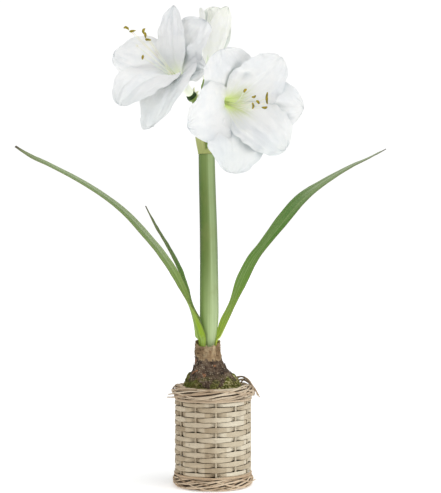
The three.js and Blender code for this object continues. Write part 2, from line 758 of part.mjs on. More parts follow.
// A strap blade through stations of x, y, z, width, roll, curl.
function strapGrid(stations, rows, columns) {
  const path = smooth(stations);
  const shape = smooth(stations.map((s) => s.slice(3)));
  const back = new THREE.Vector3(0, 1, 0);
  const outwards = Math.sign(stations.at(-1)[0] - stations[0][0]) || 1;
  const grid = [];
  for (let i = 0; i <= rows; i++) {
    const t = i / rows;
    const centre = path.getPoint(t);
    const tangent = path.getTangent(t);
    const { x: width, y: roll, z: curl } = shape.getPoint(t);
    // up: the upper face's normal where the blade isn't rolled, on the side of the stem
    const up = new THREE.Vector3().crossVectors(back, tangent).multiplyScalar(-outwards).normalize();
    if (up.x * outwards > 0) up.negate();
    const face = up.multiplyScalar(Math.cos(rad(roll))).addScaledVector(back, Math.sin(rad(roll)));
    face.addScaledVector(tangent, -face.dot(tangent)).normalize();
    const side = new THREE.Vector3().crossVectors(tangent, face);
    const bend = Math.max(rad(curl), 0.02) / width;
    const row = [];
    for (let j = 0; j <= columns; j++) {
      const turn = bend * (j / columns - 0.5) * width;
      row.push(
        centre
          .clone()
          .addScaledVector(side, Math.sin(turn) / bend)
          .addScaledVector(face, (1 - Math.cos(turn)) / bend),
      );
    }
    grid.push(row);
  }
  return grid;
}

function makeSpathe() {
  const [x] = scape.stations.at(-1);
  const { collarBottom: low, collarTop: high, collarOuter: outer, collarInner: inner } = spathe;
  const section = [[inner, low], [outer, low], [outer, high], [inner, high], [inner, low]];
  const collar = turned(section, 16).translate(x, 0, 0);
  const bracts = spathe.bracts.map((stations) => blade(strapGrid(stations, 6, 3), spathe.thickness));
  return geometryOf(joined([collar, ...bracts]));
}

// ---------------------------------------------------------------- the object

place("basket_base", makeFloor(), colours.willow);
place(
  "basket_foot_border",
  makeBorder({
    radius: basket.wallRadius + 1.4,
    halfWide: 6.2,
    bottom: 0.2,
    top: basket.footHeight,
    rods: 6,
    turns: -1,
    steps: 23,
  }),
  colours.willowRod,
);
for (let n = 0; n < basket.stakes; n++) {
  place("basket_stake_" + String(n + 1).padStart(2, "0"), makeStake(n), colours.willow);
}
place("basket_weaver", makeWeaver(), colours.willow);
place(
  "basket_rim_border",
  makeBorder({
    radius: basket.wallRadius + 1.6,
    halfWide: 7.4,
    bottom: rimBottom,
    top: basket.height,
    rods: 7,
    turns: 1,
    steps: 24,
  }),
  colours.willowRod,
);
place("liner", makeLiner(), colours.liner);
place("soil", makeSoil(), colours.soil);
place("moss", makeMoss(), colours.moss);
place("bulb", makeBulb(), colours.bulb);
place("scape", makeScape(), colours.stem);
place("spathe", makeSpathe(), colours.spathe);
for (const [name, stations] of Object.entries(leaves)) {
  place(name, blade(strapGrid(stations, 22, 3), leafThickness), colours.leaf);
}

for (const [name, bloom] of Object.entries(blooms)) {
  const group = new THREE.Group();
  group.position.copy(vec(bloom.base));
  group.quaternion.setFromRotationMatrix(bloomBasis(bloom.axis));
  root.add(group);
  const closed = name === "bloom_top";
  const rows = closed ? petal.closedRows : petal.rows;
  const columns = closed ? petal.closedColumns : petal.columns;
  place(name, makeBloom(bloom, rows, columns), colours.petal, group);
  const own = stamens[name];
  if (own) place(name.replace("bloom", "stamens"), makeStamens(own), colours.stamen, group);
}

export default root;
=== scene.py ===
import math
import random

import bpy
import numpy as np
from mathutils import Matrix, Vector, noise


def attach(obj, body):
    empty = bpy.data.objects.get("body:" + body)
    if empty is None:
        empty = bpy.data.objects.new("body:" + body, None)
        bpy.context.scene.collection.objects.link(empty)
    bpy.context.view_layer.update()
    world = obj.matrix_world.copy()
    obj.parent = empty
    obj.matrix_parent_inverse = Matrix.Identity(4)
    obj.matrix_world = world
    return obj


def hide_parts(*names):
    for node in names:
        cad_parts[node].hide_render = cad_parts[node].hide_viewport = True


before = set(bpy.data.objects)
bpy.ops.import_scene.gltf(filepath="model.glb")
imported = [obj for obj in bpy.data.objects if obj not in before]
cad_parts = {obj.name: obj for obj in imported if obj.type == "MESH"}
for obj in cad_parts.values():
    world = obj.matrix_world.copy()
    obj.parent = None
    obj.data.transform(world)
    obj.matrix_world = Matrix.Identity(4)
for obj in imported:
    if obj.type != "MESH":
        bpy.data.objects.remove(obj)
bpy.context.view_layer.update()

MM = 0.001
TAU = 2 * math.pi
Z = np.array([0.0, 0.0, 1.0])

# ------------------------------------------------------------------ driving sizes, in millimetres

WALL_RADIUS = 50.3        # circle of the stakes' centres
STAKES = 11
FIRST_STAKE = -85.0       # degrees round +Z; -90 is the front
STAKE_RADIUS = 1.45
FOOT_TOP = 17.2
RIM_BOTTOM, RIM_TOP = 123.0, 140.0
FLOOR_RADIUS, FLOOR_THICKNESS = 43.4, 3.0
LINER_RADIUS, LINER_WALL, LINER_TOP, LINER_BULGE = 42.6, 1.2, 121.2, 3.2
GAP = 0.3
NEAR_AXIS = 0.05          # a surface that closes on its own axis stops at this radius

WEAVE_TURNS = 16
WEAVE_PITCH = 6.83        # between turns, away from the strand's ends
WEAVE_END_SHARE = 0.35    # the strand's size at its two ends
WEAVE_TAPER_TURNS = 1.5
WEAVE_SWING = 2.4
WEAVE_THICKNESS = 1.55
WEAVE_STEPS = 22          # from one stake to the next
WEAVE_TALL, WEAVE_LOW = 7.2, 6.2     # the strand's height over a stake, and between two stakes

ROD_SIDES = 8             # of the thin rods in the borders
ROD_STEPS, ROD_LEAST_STEPS = 0.55, 12        # for each degree that a rod winds round, and at least
HUG_STEPS = 220           # of the rods that close the gap at a border, in one turn

BULB_PROFILE = [                     # radius, z
    (0, 76), (22, 80), (34, 96), (38, 117), (37.4, 132), (33.5, 150), (23.5, 163), (18.2, 176),
    (17.0, 188), (16.6, 201),
]
BULB_FOOT_X, BULB_NECK_X = -1.2, -7.3
NECK_TOP, NECK_HOLE, NECK_FLOOR = 201.0, 14.6, 183.0

SCAPE = [                            # x, y, z, radius
    (-5.4, 0, 183.5, 7.2), (-5.4, 0, 197, 8.6), (-5.4, 0, 228, 12.6), (-5.4, 0, 262, 13.1),
    (-6.1, 0, 340, 12.3), (-8.1, 0, 420, 11.6), (-9.0, 0, 462, 11.3),
]
SCAPE_TOP = 469.0
STALK_RADIUS, OVARY_RADIUS, BUD_OVARY_RADIUS, OVARY_LENGTH = 4.2, 7.1, 4.8, 15.0

# x, y, z, width, roll, curl of each leaf along its middle
LEAVES = {
    "leaf_left": [
        (-18.2, -6.1, 181.8, 19, 30, 96), (-17.9, -6.9, 201, 20.3, 34, 98),
        (-20.4, -9.6, 207.5, 23.6, 44, 100), (-22.8, -10.8, 218, 22, 37, 100),
        (-26.8, -11, 232, 20.5, 22, 90), (-31.4, -11.2, 246, 20.5, 8, 74),
        (-39.6, -11.6, 266, 20.5, -18, 56), (-53.4, -12.2, 294, 20, -32, 42),
        (-66.4, -13, 314.4, 19.5, -32, 38), (-84.6, -14, 338.6, 18.5, -32, 34),
        (-124, -17, 381.8, 16, -31, 28), (-169, -20, 415.2, 12.5, -31, 28),
        (-218, -22, 442.2, 10.2, -31, 26), (-250, -24, 457.5, 8.4, -36, 20),
        (-272.8, -25, 471.6, 4.8, -36, 10),
    ],
    "leaf_left_small": [
        (-14.0, 9.6, 181.6, 13, -55, 62), (-15.0, 10.6, 203, 14, -52, 58), (-20.4, 12, 226, 12, -44, 50),
        (-30.0, 10.5, 249, 8.5, -30, 36), (-37.0, 12, 275, 7.6, -38, 30), (-47.6, 13, 303, 9, -40, 26),
        (-62.8, 14, 332, 7.2, -38, 20), (-81, 15, 362.8, 5.6, -34, 12), (-95.6, 16, 391, 3, -20, 4),
    ],
    "leaf_right": [
        (4.6, 2.9, 181.6, 19, -14, 92), (5.2, 3.1, 200.5, 20, -14, 90), (10.6, 3.4, 209, 21, -18, 84),
        (18.0, 5, 228, 23.5, -26, 70), (29.2, 6, 254, 20, -28, 50), (41.4, 7, 286, 21, -50, 34),
        (55.4, 7.5, 314, 21, -46, 32), (70.6, 8, 334.4, 20.5, -40, 30), (97.6, 9, 369.6, 21.5, -52, 26),
        (122.6, 9, 398.6, 21.5, -48, 26), (150, 8, 420, 16.5, -38, 24), (189, 6, 443.4, 11.5, -26, 20),
        (220, 4, 458.4, 7.5, -20, 10), (242.6, 2, 470.2, 4.4, -16, 4),
    ],
}
LEAF_THICKNESS = 1.3
LEAF_ROWS, BRACT_ROWS, STRAP_COLUMNS = 130, 60, 49

SPATHE_BRACTS = [
    [(-18.3, -6.5, 464, 21, 35, 110), (-21.6, -9, 486, 24, 35, 90), (-23.6, -12, 510, 20, 35, 70),
     (-25, -14, 532, 3, 35, 20)],
    [(0.3, 6.5, 464, 21, -35, 110), (5, 11, 488, 24, -35, 90), (9, 16, 512, 20, -35, 70),
     (12, 20, 534, 3, -35, 20)],
]
SPATHE_THICKNESS = 0.9
COLLAR_LOW, COLLAR_HIGH, COLLAR_OUTER, COLLAR_INNER = 462.7, 470.0, 12.0, 10.2

# A tepal: degrees round the axis, whorl, length, width, lean at the middle and tip, cup, ruffle's height,
# its waves and phase, how blunt the tip is (smaller is blunter), and how far the tip bends round the axis.
INNER, OUTER = 1, -1
BLOOMS = {
    "bloom_right": {
        "base": (8.4, -28, 532.5), "axis": (0.4, -0.905, -0.13), "radius": 4.5, "tube": 34, "lean": 8,
        "tepals": [
            (-5, OUTER, 134, 80, 50, 76, 12, 2.5, 2.0, 0.1, 0.55, 0),
            (50, INNER, 128, 74, 52, 76, 16, 3, 2.3, 0.4, 0.5, 0),
            (111, OUTER, 116, 84, 54, 88, 10, 3, 2.0, 0.7, 0.42, 0),
            (200, INNER, 132, 84, 58, 88, 10, 2.5, 1.6, 0.2, 0.6, 0),
            (256, OUTER, 143, 94, 54, 84, 12, 3, 2.2, 0.5, 0.45, 0),
            (312, INNER, 134, 73, 50, 80, 14, 3.5, 2.6, 0.9, 0.38, 0),
        ],
    },
    "bloom_left": {
        "base": (-33, -2, 548), "axis": (-0.4, -0.78, 0.49), "radius": 4.5, "tube": 42, "lean": 5,
        "tepals": [
            (73, INNER, 133, 46, 50, 80, 14, 2, 2, 0.1, 0.7, 3),
            (159, OUTER, 132, 74, 50, 82, 12, 2, 2, 0.1, 0.42, 0),
            (236, INNER, 153, 84, 56, 88, 12, 2, 2, 0.1, 0.42, 2),
            (291, OUTER, 144, 82, 66, 96, 16, 2, 2, 0.1, 0.36, -52),
            (331, INNER, 97, 60, 60, 88, 30, 2, 2, 0.1, 0.5, 0),
            (44, OUTER, 124, 78, 56, 92, 16, 2, 2, 0.1, 0.42, -3),
        ],
    },
    "bloom_top": {
        "base": (-10, 18, 569), "axis": (0.18, 0.1, 0.975), "radius": 4.0, "tube": 26, "lean": 5,
        "tepals": [
            (28, INNER, 102, 34, 12, -12, 66, 1, 1.5, 0.03, 0.6, 0),
            (106, OUTER, 113, 60, 9, 0, 66, 1, 1.5, 0.03, 0.45, 0),
            (150, INNER, 106, 40, 13, 7, 66, 1, 1.5, 0.23, 0.5, 0),
            (190, OUTER, 103, 42, 18, 9, 66, 1, 1.5, 0.23, 0.5, 0),
            (258, INNER, 80, 34, 11, 2, 66, 1, 1.5, 0.43, 0.6, 0),
            (316, OUTER, 107, 48, 14, -12, 66, 1, 1.5, 0.43, 0.45, 0),
        ],
    },
}
# Small folds: which tepal, where along and across it, the fold's size along and across, and its height.
FOLDS = {
    "bloom_right": [
        (2, 0.62, -0.55, 0.05, 0.10, 8.5), (2, 0.60, -0.30, 0.04, 0.10, -7.5),
        (2, 0.84, 0.30, 0.10, 0.10, 5.0), (2, 0.74, -0.05, 0.05, 0.12, 4.0),
        (4, 0.50, -0.38, 0.05, 0.12, 6.5), (4, 0.60, -0.15, 0.05, 0.14, -5.0),
        (4, 0.56, 0.20, 0.06, 0.10, 4.0), (5, 0.62, -0.70, 0.16, 0.10, 4.5),
        (5, 0.90, 0.45, 0.06, 0.14, 4.5), (5, 0.80, 0.75, 0.05, 0.12, 4.0),
        (1, 0.55, 0.80, 0.05, 0.16, 8.5), (1, 0.63, 0.50, 0.05, 0.14, -6.5),
        (1, 0.74, 0.20, 0.08, 0.10, 3.5), (1, 0.90, -0.20, 0.05, 0.12, 3.5),
        (0, 0.86, -0.30, 0.06, 0.12, 3.5),
    ],
    "bloom_left": [
        (5, 0.56, 0.05, 0.04, 0.08, -8.0), (5, 0.62, -0.18, 0.05, 0.09, 7.0),
        (5, 0.44, 0.30, 0.05, 0.12, 6.0), (1, 0.74, 0.45, 0.10, 0.10, 3.0),
        (2, 0.86, -0.35, 0.08, 0.14, 4.0), (0, 0.8, 0.3, 0.10, 0.12, 2.0),
    ],
    "bloom_top": [],
}
PETAL_THICKNESS = 0.55
PETAL_ROWS, PETAL_COLUMNS = 68, 58
SPINE_STEPS = 240         # the steps in which a tepal's middle line is summed up
WHORL_OFFSET, WHORL_SPREAD = 0.65, 3.2
TUBE_FLOOR = 3.0
PALE_BACK = 34.0          # the outside of a tepal is as pale as its inside is this much further out

SHARP_ANGLE = math.radians(60)       # a steeper edge between faces shows as an edge
BULB_SEED, MOSS_SEED, WILLOW_SEED = 4, 9, 21

# ------------------------------------------------------------------ small helpers


def rise(a, b, x):
    """0 below a, 1 above b, and a smooth rise between."""
    t = np.clip((np.asarray(x, float) - a) / (b - a), 0, 1)
    return t * t * (3 - 2 * t)


def spline(stations, ts):
    """Points on a smooth curve through the stations, at ts from 0 to 1."""
    p = np.asarray(stations, float)
    p = np.vstack([2 * p[0] - p[1], p, 2 * p[-1] - p[-2]])
    f = np.clip(np.asarray(ts, float), 0, 1) * (len(stations) - 1)
    i = np.minimum(f.astype(int), len(stations) - 2)
    w = (f - i)[:, None]
    a, b, c, d = p[i], p[i + 1], p[i + 2], p[i + 3]
    return 0.5 * (2 * b + (c - a) * w + (2 * a - 5 * b + 4 * c - d) * w**2 + (3 * b - 3 * c + d - a) * w**3)


def unit(v):
    return v / np.maximum(np.linalg.norm(v, axis=-1, keepdims=True), 1e-12)


def across_to(v, tangent):
    """v with its part along tangent taken away, at unit length."""
    return unit(v - np.sum(v * tangent, axis=-1, keepdims=True) * tangent)


def wander(points, seed, octaves=2):
    """Smooth noise from about -1 to 1 at each of a list of points."""
    shift = Vector((seed * 7.13, seed * 3.71, seed * 5.37))
    found = [noise.fractal(Vector(p) + shift, 0.9, 2.0, octaves) for p in np.reshape(points, (-1, 3))]
    return np.reshape(found, np.shape(points)[:-1])


def wander1(xs, seed):
    """Smooth noise at each of a list of numbers."""
    return wander(stacked(np.asarray(xs, float), 0.37, 0.71), seed)


def stacked(*parts):
    """Numbers and arrays spread to one shape, and put side by side in a new last axis."""
    return np.stack(np.broadcast_arrays(*parts), -1)


def circle(count):
    """Angles once round, in equal steps."""
    return TAU * np.arange(count) / count


def turned(radius, angle, z, x=0.0):
    """Points at a radius and an angle round an upright line at x."""
    return stacked(x + radius * np.cos(angle), radius * np.sin(angle), z)


class Shape:
    """Points and faces of one piece. Each point has a mark of three numbers that its material reads."""

    def __init__(self):
        self.points, self.marks, self.faces, self.slots = [], [], [], []
        self.count = 0

    def add(self, points, faces, marks, slot=0):
        self.points.append(np.reshape(points, (-1, 3)))
        self.marks.append(np.reshape(marks, (-1, 3)))
        self.faces += [tuple(int(n) + self.count for n in face) for face in faces]
        self.slots += [slot] * len(faces)
        self.count += len(self.points[-1])

    def piece(self, name, slot, *materials):
        """Make the piece that stands for the CAD node of the same name."""
        mesh = bpy.data.meshes.new(name)
        mesh.from_pydata((np.concatenate(self.points) * MM).tolist(), [], self.faces)
        mark = mesh.attributes.new("mark", "FLOAT_VECTOR", "POINT")
        mark.data.foreach_set("vector", np.concatenate(self.marks).astype(np.float32).ravel())
        for material in materials:
            mesh.materials.append(material)
        mesh.polygons.foreach_set("material_index", self.slots)
        mesh.polygons.foreach_set("use_smooth", [True] * len(self.faces))
        mesh.set_sharp_from_angle(angle=SHARP_ANGLE)
        mesh.update()
        piece = bpy.data.objects.new(name, mesh)
        bpy.context.scene.collection.objects.link(piece)
        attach(piece, "root")
        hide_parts(name)


def grid_faces(rows, columns, wrap_rows=False, wrap_columns=False):
    """Faces of a grid of points, row by row. Their normals are the rows' direction x the columns' one."""
    i = np.arange(rows if wrap_rows else rows - 1)[:, None]
    j = np.arange(columns if wrap_columns else columns - 1)
    this_row, next_row, next_j = i * columns, (i + 1) % rows * columns, (j + 1) % columns
    return stacked(this_row + j, next_row + j, next_row + next_j, this_row + next_j).reshape(-1, 4)


def add_blade(shape, grid, thickness, marks, back=None):
    """A thin closed blade about a grid of points. thickness is a number, or one for each point.

    back holds the marks of its back, where they aren't those of its front.
    """
    rows, columns = grid.shape[:2]
    normal = unit(np.cross(np.gradient(grid, axis=0), np.gradient(grid, axis=1)))
    half = normal * (np.broadcast_to(thickness, (rows, columns))[..., None] / 2)
    n = rows * columns
    ids = np.arange(n).reshape(rows, columns)
    rim = np.concatenate([ids[:-1, 0], ids[-1, :-1], ids[:0:-1, -1], ids[0, :0:-1]])
    after = np.roll(rim, -1)
    front = grid_faces(rows, columns)
    faces = np.concatenate([front, front[:, ::-1] + n, stacked(after, rim, rim + n, after + n)])
    back = marks if back is None else back
    shape.add(np.stack([grid + half, grid - half]), faces, np.stack([marks, back]))


def add_tube(shape, rings, marks, slot=0, looped=False):
    """A closed tube through rings of points that turn clockwise seen along it.

    A fan of faces closes each end, unless the tube is looped. marks is one mark, or one for each point.
    """
    count, sides = rings.shape[:2]
    faces = [f[::-1] for f in grid_faces(count, sides, wrap_rows=looped, wrap_columns=True)]
    marks = np.broadcast_to(marks, (count, sides, 3)).reshape(-1, 3)
    points = rings.reshape(-1, 3)
    if not looped:
        points = np.concatenate([points, [rings[0].mean(0), rings[-1].mean(0)]])
        marks = np.concatenate([marks, marks[:1], marks[-1:]])
        first, last, last_ring = count * sides, count * sides + 1, (count - 1) * sides
        around = np.arange(sides)
        faces += [(first, (j + 1) % sides, j) for j in around]
        faces += [(last, last_ring + j, last_ring + (j + 1) % sides) for j in around]
    shape.add(points, faces, marks, slot)


def frames_along(path, start):
    """Two directions square to a path at each of its points, which don't twist. start is near the first."""
    side = np.array(start, float)
    sides = []
    tangents = unit(np.gradient(path, axis=0))
    for t in tangents:
        side = side - side.dot(t) * t
        side = side / np.linalg.norm(side)
        sides.append(side)
    return np.array(sides), np.cross(tangents, sides)


def rod_rings(path, radii, sides, wobble=0.0, seed=0, start=(0.0, 1.0, 0.0)):
    """Rings of a round rod along a path, with knots and dents of wobble's size."""
    path = np.asarray(path, float)
    a, b = frames_along(path, start)
    turn = circle(sides)[:, None]
    out = a[:, None] * np.cos(turn) + b[:, None] * np.sin(turn)
    rings = path[:, None] + out * np.broadcast_to(radii, len(path))[:, None, None]
    if wobble:
        dent = wander(rings * 0.22, seed) + 0.5 * wander(rings * 0.7, seed + 1)
        rings = rings + out * (wobble * dent)[..., None]
    return rings


def rod_marks(path, sides, tone):
    """Marks of a rod: millimetres along it, place round it, and its tone, which may be one for each ring."""
    steps = np.linalg.norm(np.diff(path, axis=0), axis=1)
    along = np.concatenate([[0], np.cumsum(steps)])
    return stacked(along[:, None], np.abs(np.arange(sides) / sides * 2 - 1), np.reshape(tone, (-1, 1)))


def add_rod(shape, path, radii, sides, tone, **form):
    add_tube(shape, rod_rings(path, radii, sides, **form), rod_marks(path, sides, tone))


def turned_rings(profile, segments, x=0.0):
    """Rings round an upright line at x, through a profile of (radius, z) that goes up on its outside."""
    radius, z = np.asarray(profile, float).T[..., None]
    return turned(radius, circle(segments), z, x)


# ------------------------------------------------------------------ materials


def linear(code):
    """A hex colour as linear red, green, blue and alpha."""
    values = [int(code[n:n + 2], 16) / 255 for n in (0, 2, 4)]
    return (*[v / 12.92 if v <= 0.04045 else ((v + 0.055) / 1.055) ** 2.4 for v in values], 1.0)


class Paint:
    """One node material, and the few kinds of node that these materials are made of."""

    def __init__(self, name, **settings):
        self.material = bpy.data.materials.new(name)
        self.material.use_nodes = True
        self.tree = self.material.node_tree
        self.shader = self.tree.nodes["Principled BSDF"]
        for key, value in settings.items():
            self.shader.inputs[key.replace("_", " ")].default_value = value
        mark = self.node("ShaderNodeAttribute", attribute_name="mark").outputs["Vector"]
        self.along, self.across, self.tone = self.split(mark)
        self.place = self.node("ShaderNodeTexCoord").outputs["Object"]
        self.sideways, _, self.height = self.split(self.place)

    def node(self, kind, **values):
        """A new node. A value is one of its settings, or goes to the input of that name."""
        made = self.tree.nodes.new(kind)
        for key, value in values.items():
            if hasattr(made, key):
                setattr(made, key, value)
            else:
                self.set(made.inputs[key], value)
        return made

    def set(self, socket, value):
        if isinstance(value, bpy.types.NodeSocket):
            self.tree.links.new(value, socket)
        else:
            socket.default_value = value

    def fed(self, kind, *values, **settings):
        """The first output of a new node that has values on its inputs, in their order."""
        made = self.node(kind, **settings)
        for socket, value in zip(made.inputs, values):
            self.set(socket, value)
        return made.outputs[0]

    def split(self, vector):
        return self.node("ShaderNodeSeparateXYZ", Vector=vector).outputs

    def maths(self, operation, *values):
        return self.fed("ShaderNodeMath", *values, operation=operation)

    def band(self, value, low, high, to_low=0.0, to_high=1.0):
        """value eased from low..high to to_low..to_high."""
        numbers = (value, low, high, to_low, to_high)
        return self.fed("ShaderNodeMapRange", *numbers, interpolation_type="SMOOTHSTEP")

    def ramp(self, value, stops):
        made = self.node("ShaderNodeValToRGB")
        self.set(made.inputs[0], value)
        made.color_ramp.elements.remove(made.color_ramp.elements[1])
        for n, (place, code) in enumerate(stops):
            stop = made.color_ramp.elements[0] if n == 0 else made.color_ramp.elements.new(place)
            stop.position = place
            stop.color = linear(code)
        return made.outputs["Color"]

    def mix(self, amount, a, b, blend="MIX"):
        # this node has sockets for every type of data: these are the ones for colours
        made = self.node("ShaderNodeMix", data_type="RGBA", blend_type=blend)
        self.set(made.inputs[0], amount)
        self.set(made.inputs[6], linear(a) if isinstance(a, str) else a)
        self.set(made.inputs[7], linear(b) if isinstance(b, str) else b)
        return made.outputs[2]

    def tinted(self, colour, tint):
        return self.mix(1.0, colour, tint, "MULTIPLY")

    def layers(self, body, *coats):
        """body under coats of colour. Each is a colour, and what band needs for how thick it lies."""
        for colour, *thick in coats:
            body = self.mix(self.band(*thick), body, colour)
        return body

    def noise(self, scale, detail=2.0, vector=None):
        vector = self.place if vector is None else vector
        made = self.node("ShaderNodeTexNoise", Vector=vector, Scale=scale, Detail=detail, Roughness=0.55)
        return made.outputs["Fac"]

    def grain(self, along, across, detail=2.0):
        """Noise drawn out along the piece: along and across are its cells per unit of the marks."""
        scaled = [self.maths("MULTIPLY", self.along, along), self.maths("MULTIPLY", self.across, across),
                  self.maths("MULTIPLY", self.tone, 37.0)]
        return self.noise(1.0, detail, self.fed("ShaderNodeCombineXYZ", *scaled))

    def bump(self, height, distance, strength):
        made = self.node("ShaderNodeBump", Distance=distance, Strength=strength, Height=height)
        self.set(self.shader.inputs["Normal"], made.outputs[0])

    def glow(self, colour, strength):
        self.set(self.shader.inputs["Emission Color"], colour)
        self.set(self.shader.inputs["Emission Strength"], strength)

    def finish(self, colour, roughness=None):
        self.set(self.shader.inputs["Base Color"], colour)
        if roughness is not None:
            self.set(self.shader.inputs["Roughness"], roughness)
        return self.material


def paint_petal(name, white, shade, throat, green_end, spread=0.0, low=(0.0, 0.1), glow=0.0):
    """Petal skin: white, with painted shade in soft patches and fine veins along it, and a throat green to
    green_end mm.

    On the bloom's right the green runs spread mm further. Lower down the skin is cooler with painted shade,
    all of it below the first height of low and none above the second, and painted shade makes it cooler in
    creases.
    Light comes through the petals into the throat, and through the whole of a narrow bud: a faint glow stands
    for it, and glow is its strength past the throat.
    """
    p = Paint(name, Roughness=0.5, Specular_IOR_Level=0.35, Sheen_Weight=0.12, Subsurface_Weight=0.35,
              Subsurface_Scale=0.004, Subsurface_Radius=(1.0, 1.0, 0.9))
    veins = p.grain(0.012, 16.0, 1.0)
    # soft patches of painted shade over the white skin
    skin = p.mix(p.band(p.noise(30.0, 4.0), 0.4, 0.66), white, shade)
    # painted shade: the skin is cooler low down on the bloom; the fine veins are the skin's own colour
    skin = p.layers(
        skin,
        (p.tinted(skin, "f2f5f5"), p.height, *low, 1.0, 0.0),
        (shade, veins, 0.5, 0.75, 0.0, 0.25))
    # painted shade: the skin turns cooler in creases, where ambient occlusion finds them
    crease_shade = p.node("ShaderNodeAmbientOcclusion", samples=6, Distance=0.014).outputs["AO"]
    skin = p.layers(skin, (p.tinted(skin, "d8e0e3"), crease_shade, 0.4, 0.95, 0.7, 0.0))
    middle = p.maths("POWER", p.band(p.maths("ABSOLUTE", p.across), 0.0, 0.55, 1.0, 0.0), 1.5)
    reach = p.maths("ADD", p.along, p.maths("MULTIPLY", middle, -9.0))
    reach = p.maths("ADD", reach, p.maths("MULTIPLY", p.maths("SUBTRACT", veins, 0.5), -28.0))
    reach = p.maths("SUBTRACT", reach, p.band(p.sideways, 0.012, 0.04, 0.0, spread))
    green = p.ramp(p.maths("DIVIDE", reach, green_end * 1.6), throat)
    p.bump(p.maths("ADD", veins, p.maths("MULTIPLY", p.noise(420.0, 1.0), 0.12)), 0.0009, 0.35)
    p.glow(green, p.band(p.along, green_end * 0.3, green_end * 1.3, 0.52, glow))
    return p.finish(p.layers(skin, (green, reach, green_end * 0.5, green_end * 1.35, 1.0, 0.0)))


def paint_stamen(name):
    """Filament: pale green at its foot and white further out."""
    p = Paint(name, Roughness=0.55, Subsurface_Weight=0.2, Subsurface_Scale=0.002)
    far = p.maths("DIVIDE", p.along, 110.0)
    colour = p.ramp(far, [(0.0, "b4c377"), (0.35, "e4e9c6"), (0.6, "f2f3e6"), (1.0, "f1f0dc")])
    p.bump(p.noise(900.0), 0.0003, 0.3)
    return p.finish(colour)


def paint_anther(name):
    """Anther: olive pod with golden pollen."""
    p = Paint(name, Roughness=0.9)
    grains = p.noise(2200.0, 1.0)
    p.bump(grains, 0.0005, 0.9)
    return p.finish(p.layers(
        "7f7618",
        ("b5a02c", p.noise(260.0), 0.35, 0.65),
        ("56511a", grains, 0.3, 0.5, 0.4, 0.0)))


def paint_leaf(name, run, pale_side, wax_and_sheen):
    """Leaf: parallel veins over the colours of run, a pale half of waxy bloom and painted sheen, brownish
    edges and a dry tip.

    One argument says which half is pale: 1 or -1. Another says how pale it is along the leaf, as (place,
    amount);
    that paleness is partly waxy bloom and partly painted sheen. Light comes through the leaf's foot, and a
    faint glow there stands for it.
    """
    p = Paint(name, Roughness=0.5, Specular_IOR_Level=0.2)
    veins = p.grain(0.9, 4.5, 1.0)
    # the pale half: partly a waxy bloom, partly painted sheen where that face turns to the light
    half = p.band(p.maths("MULTIPLY", p.across, pale_side), -0.4, 0.1)
    amount = p.ramp(p.along, [(place, f"{round(255 * share):02x}" * 3) for place, share in wax_and_sheen])
    fold = p.maths("ABSOLUTE", p.maths("MULTIPLY_ADD", p.across, pale_side, 0.16))
    body = p.layers(
        p.mix(p.maths("MULTIPLY", half, amount), p.ramp(p.along, run), "b9c4a6"),
        ("94a86e", p.grain(7.0, 1.6), 0.4, 0.68, 0.0, 0.35),
        ("55742f", veins, 0.36, 0.56, 0.45, 0.0),
        ("b4c690", p.grain(1.6, 9.0, 1.0), 0.5, 0.7, 0.0, 0.38),
        ("5d7733", fold, 0.0, 0.12, 0.45, 0.0),
        ("7c6a44", p.maths("ABSOLUTE", p.across), 0.93, 1.0, 0.0, 0.6),
        ("5b5044", p.along, 0.965, 1.0, 0.0, 0.9))
    p.glow(body, p.band(p.along, 0.18, 0.42, 0.16, 0.0))
    p.bump(veins, 0.0005, 0.2)
    return p.finish(body)


def paint_stem(name):
    """Flower stem: painted shade darkens its left and a painted highlight lies right of its middle; it is
    pale at its foot, with dark ovaries.

    Its tone is 0 on the stem, 0.5 on the stalks, 1 on the ovaries and 1.5 on the scales round them.
    """
    p = Paint(name, Roughness=0.45, Specular_IOR_Level=0.25)
    streaks = p.grain(0.003, 9.0)
    around = p.maths("MULTIPLY_ADD", p.across, 0.5, 0.5)
    # round the stem from left to right: painted shade on the left, a painted highlight right of the middle
    body = p.ramp(around, [
        (0.0, "4f5d3e"), (0.1, "55702f"), (0.25, "657c36"), (0.45, "718546"),
        (0.56, "869a5e"), (0.63, "acc08b"), (0.85, "9bae7c"), (1.0, "6f8454"),
    ])
    stalk = p.layers("8ea45a", ("6c8a3e", streaks, 0.4, 0.7, 0.0, 0.4))
    ovary = p.layers("182b0e", ("2b4519", p.noise(220.0), 0.35, 0.7))
    scales = p.layers("bcc67c", ("f0f1d0", p.along, 0.2, 0.9))
    body = p.layers(
        body,
        (p.mix(around, "a4bf6c", "d2e2b4"), p.height, 0.19, 0.34, 0.9, 0.0),
        ("9db274", p.height, 0.40, 0.46, 0.0, 0.25),
        ("5c7636", streaks, 0.38, 0.62, 0.22, 0.0),
        ("8a8f55", p.noise(45.0, 3.0), 0.45, 0.75, 0.0, 0.25),
        (stalk, p.tone, 0.3, 0.5),
        (ovary, p.tone, 0.6, 0.85),
        (scales, p.tone, 1.2, 1.4))
    p.bump(streaks, 0.0005, 0.25)
    return p.finish(body, p.band(streaks, 0.3, 0.7, 0.36, 0.5))


def paint_spathe(name):
    p = Paint(name, Roughness=0.6, Specular_IOR_Level=0.3)
    veins = p.grain(0.8, 6.0)
    p.bump(veins, 0.0006, 0.4)
    return p.finish(p.layers(
        p.ramp(p.along, [(0.0, "a9b06c"), (0.35, "b6bb7c"), (0.75, "cdc591"), (1.0, "b09a70")]),
        ("87914e", veins, 0.38, 0.6, 0.4, 0.0),
        ("6b7434", p.maths("ABSOLUTE", p.across), 0.75, 1.0, 0.0, 0.6)))


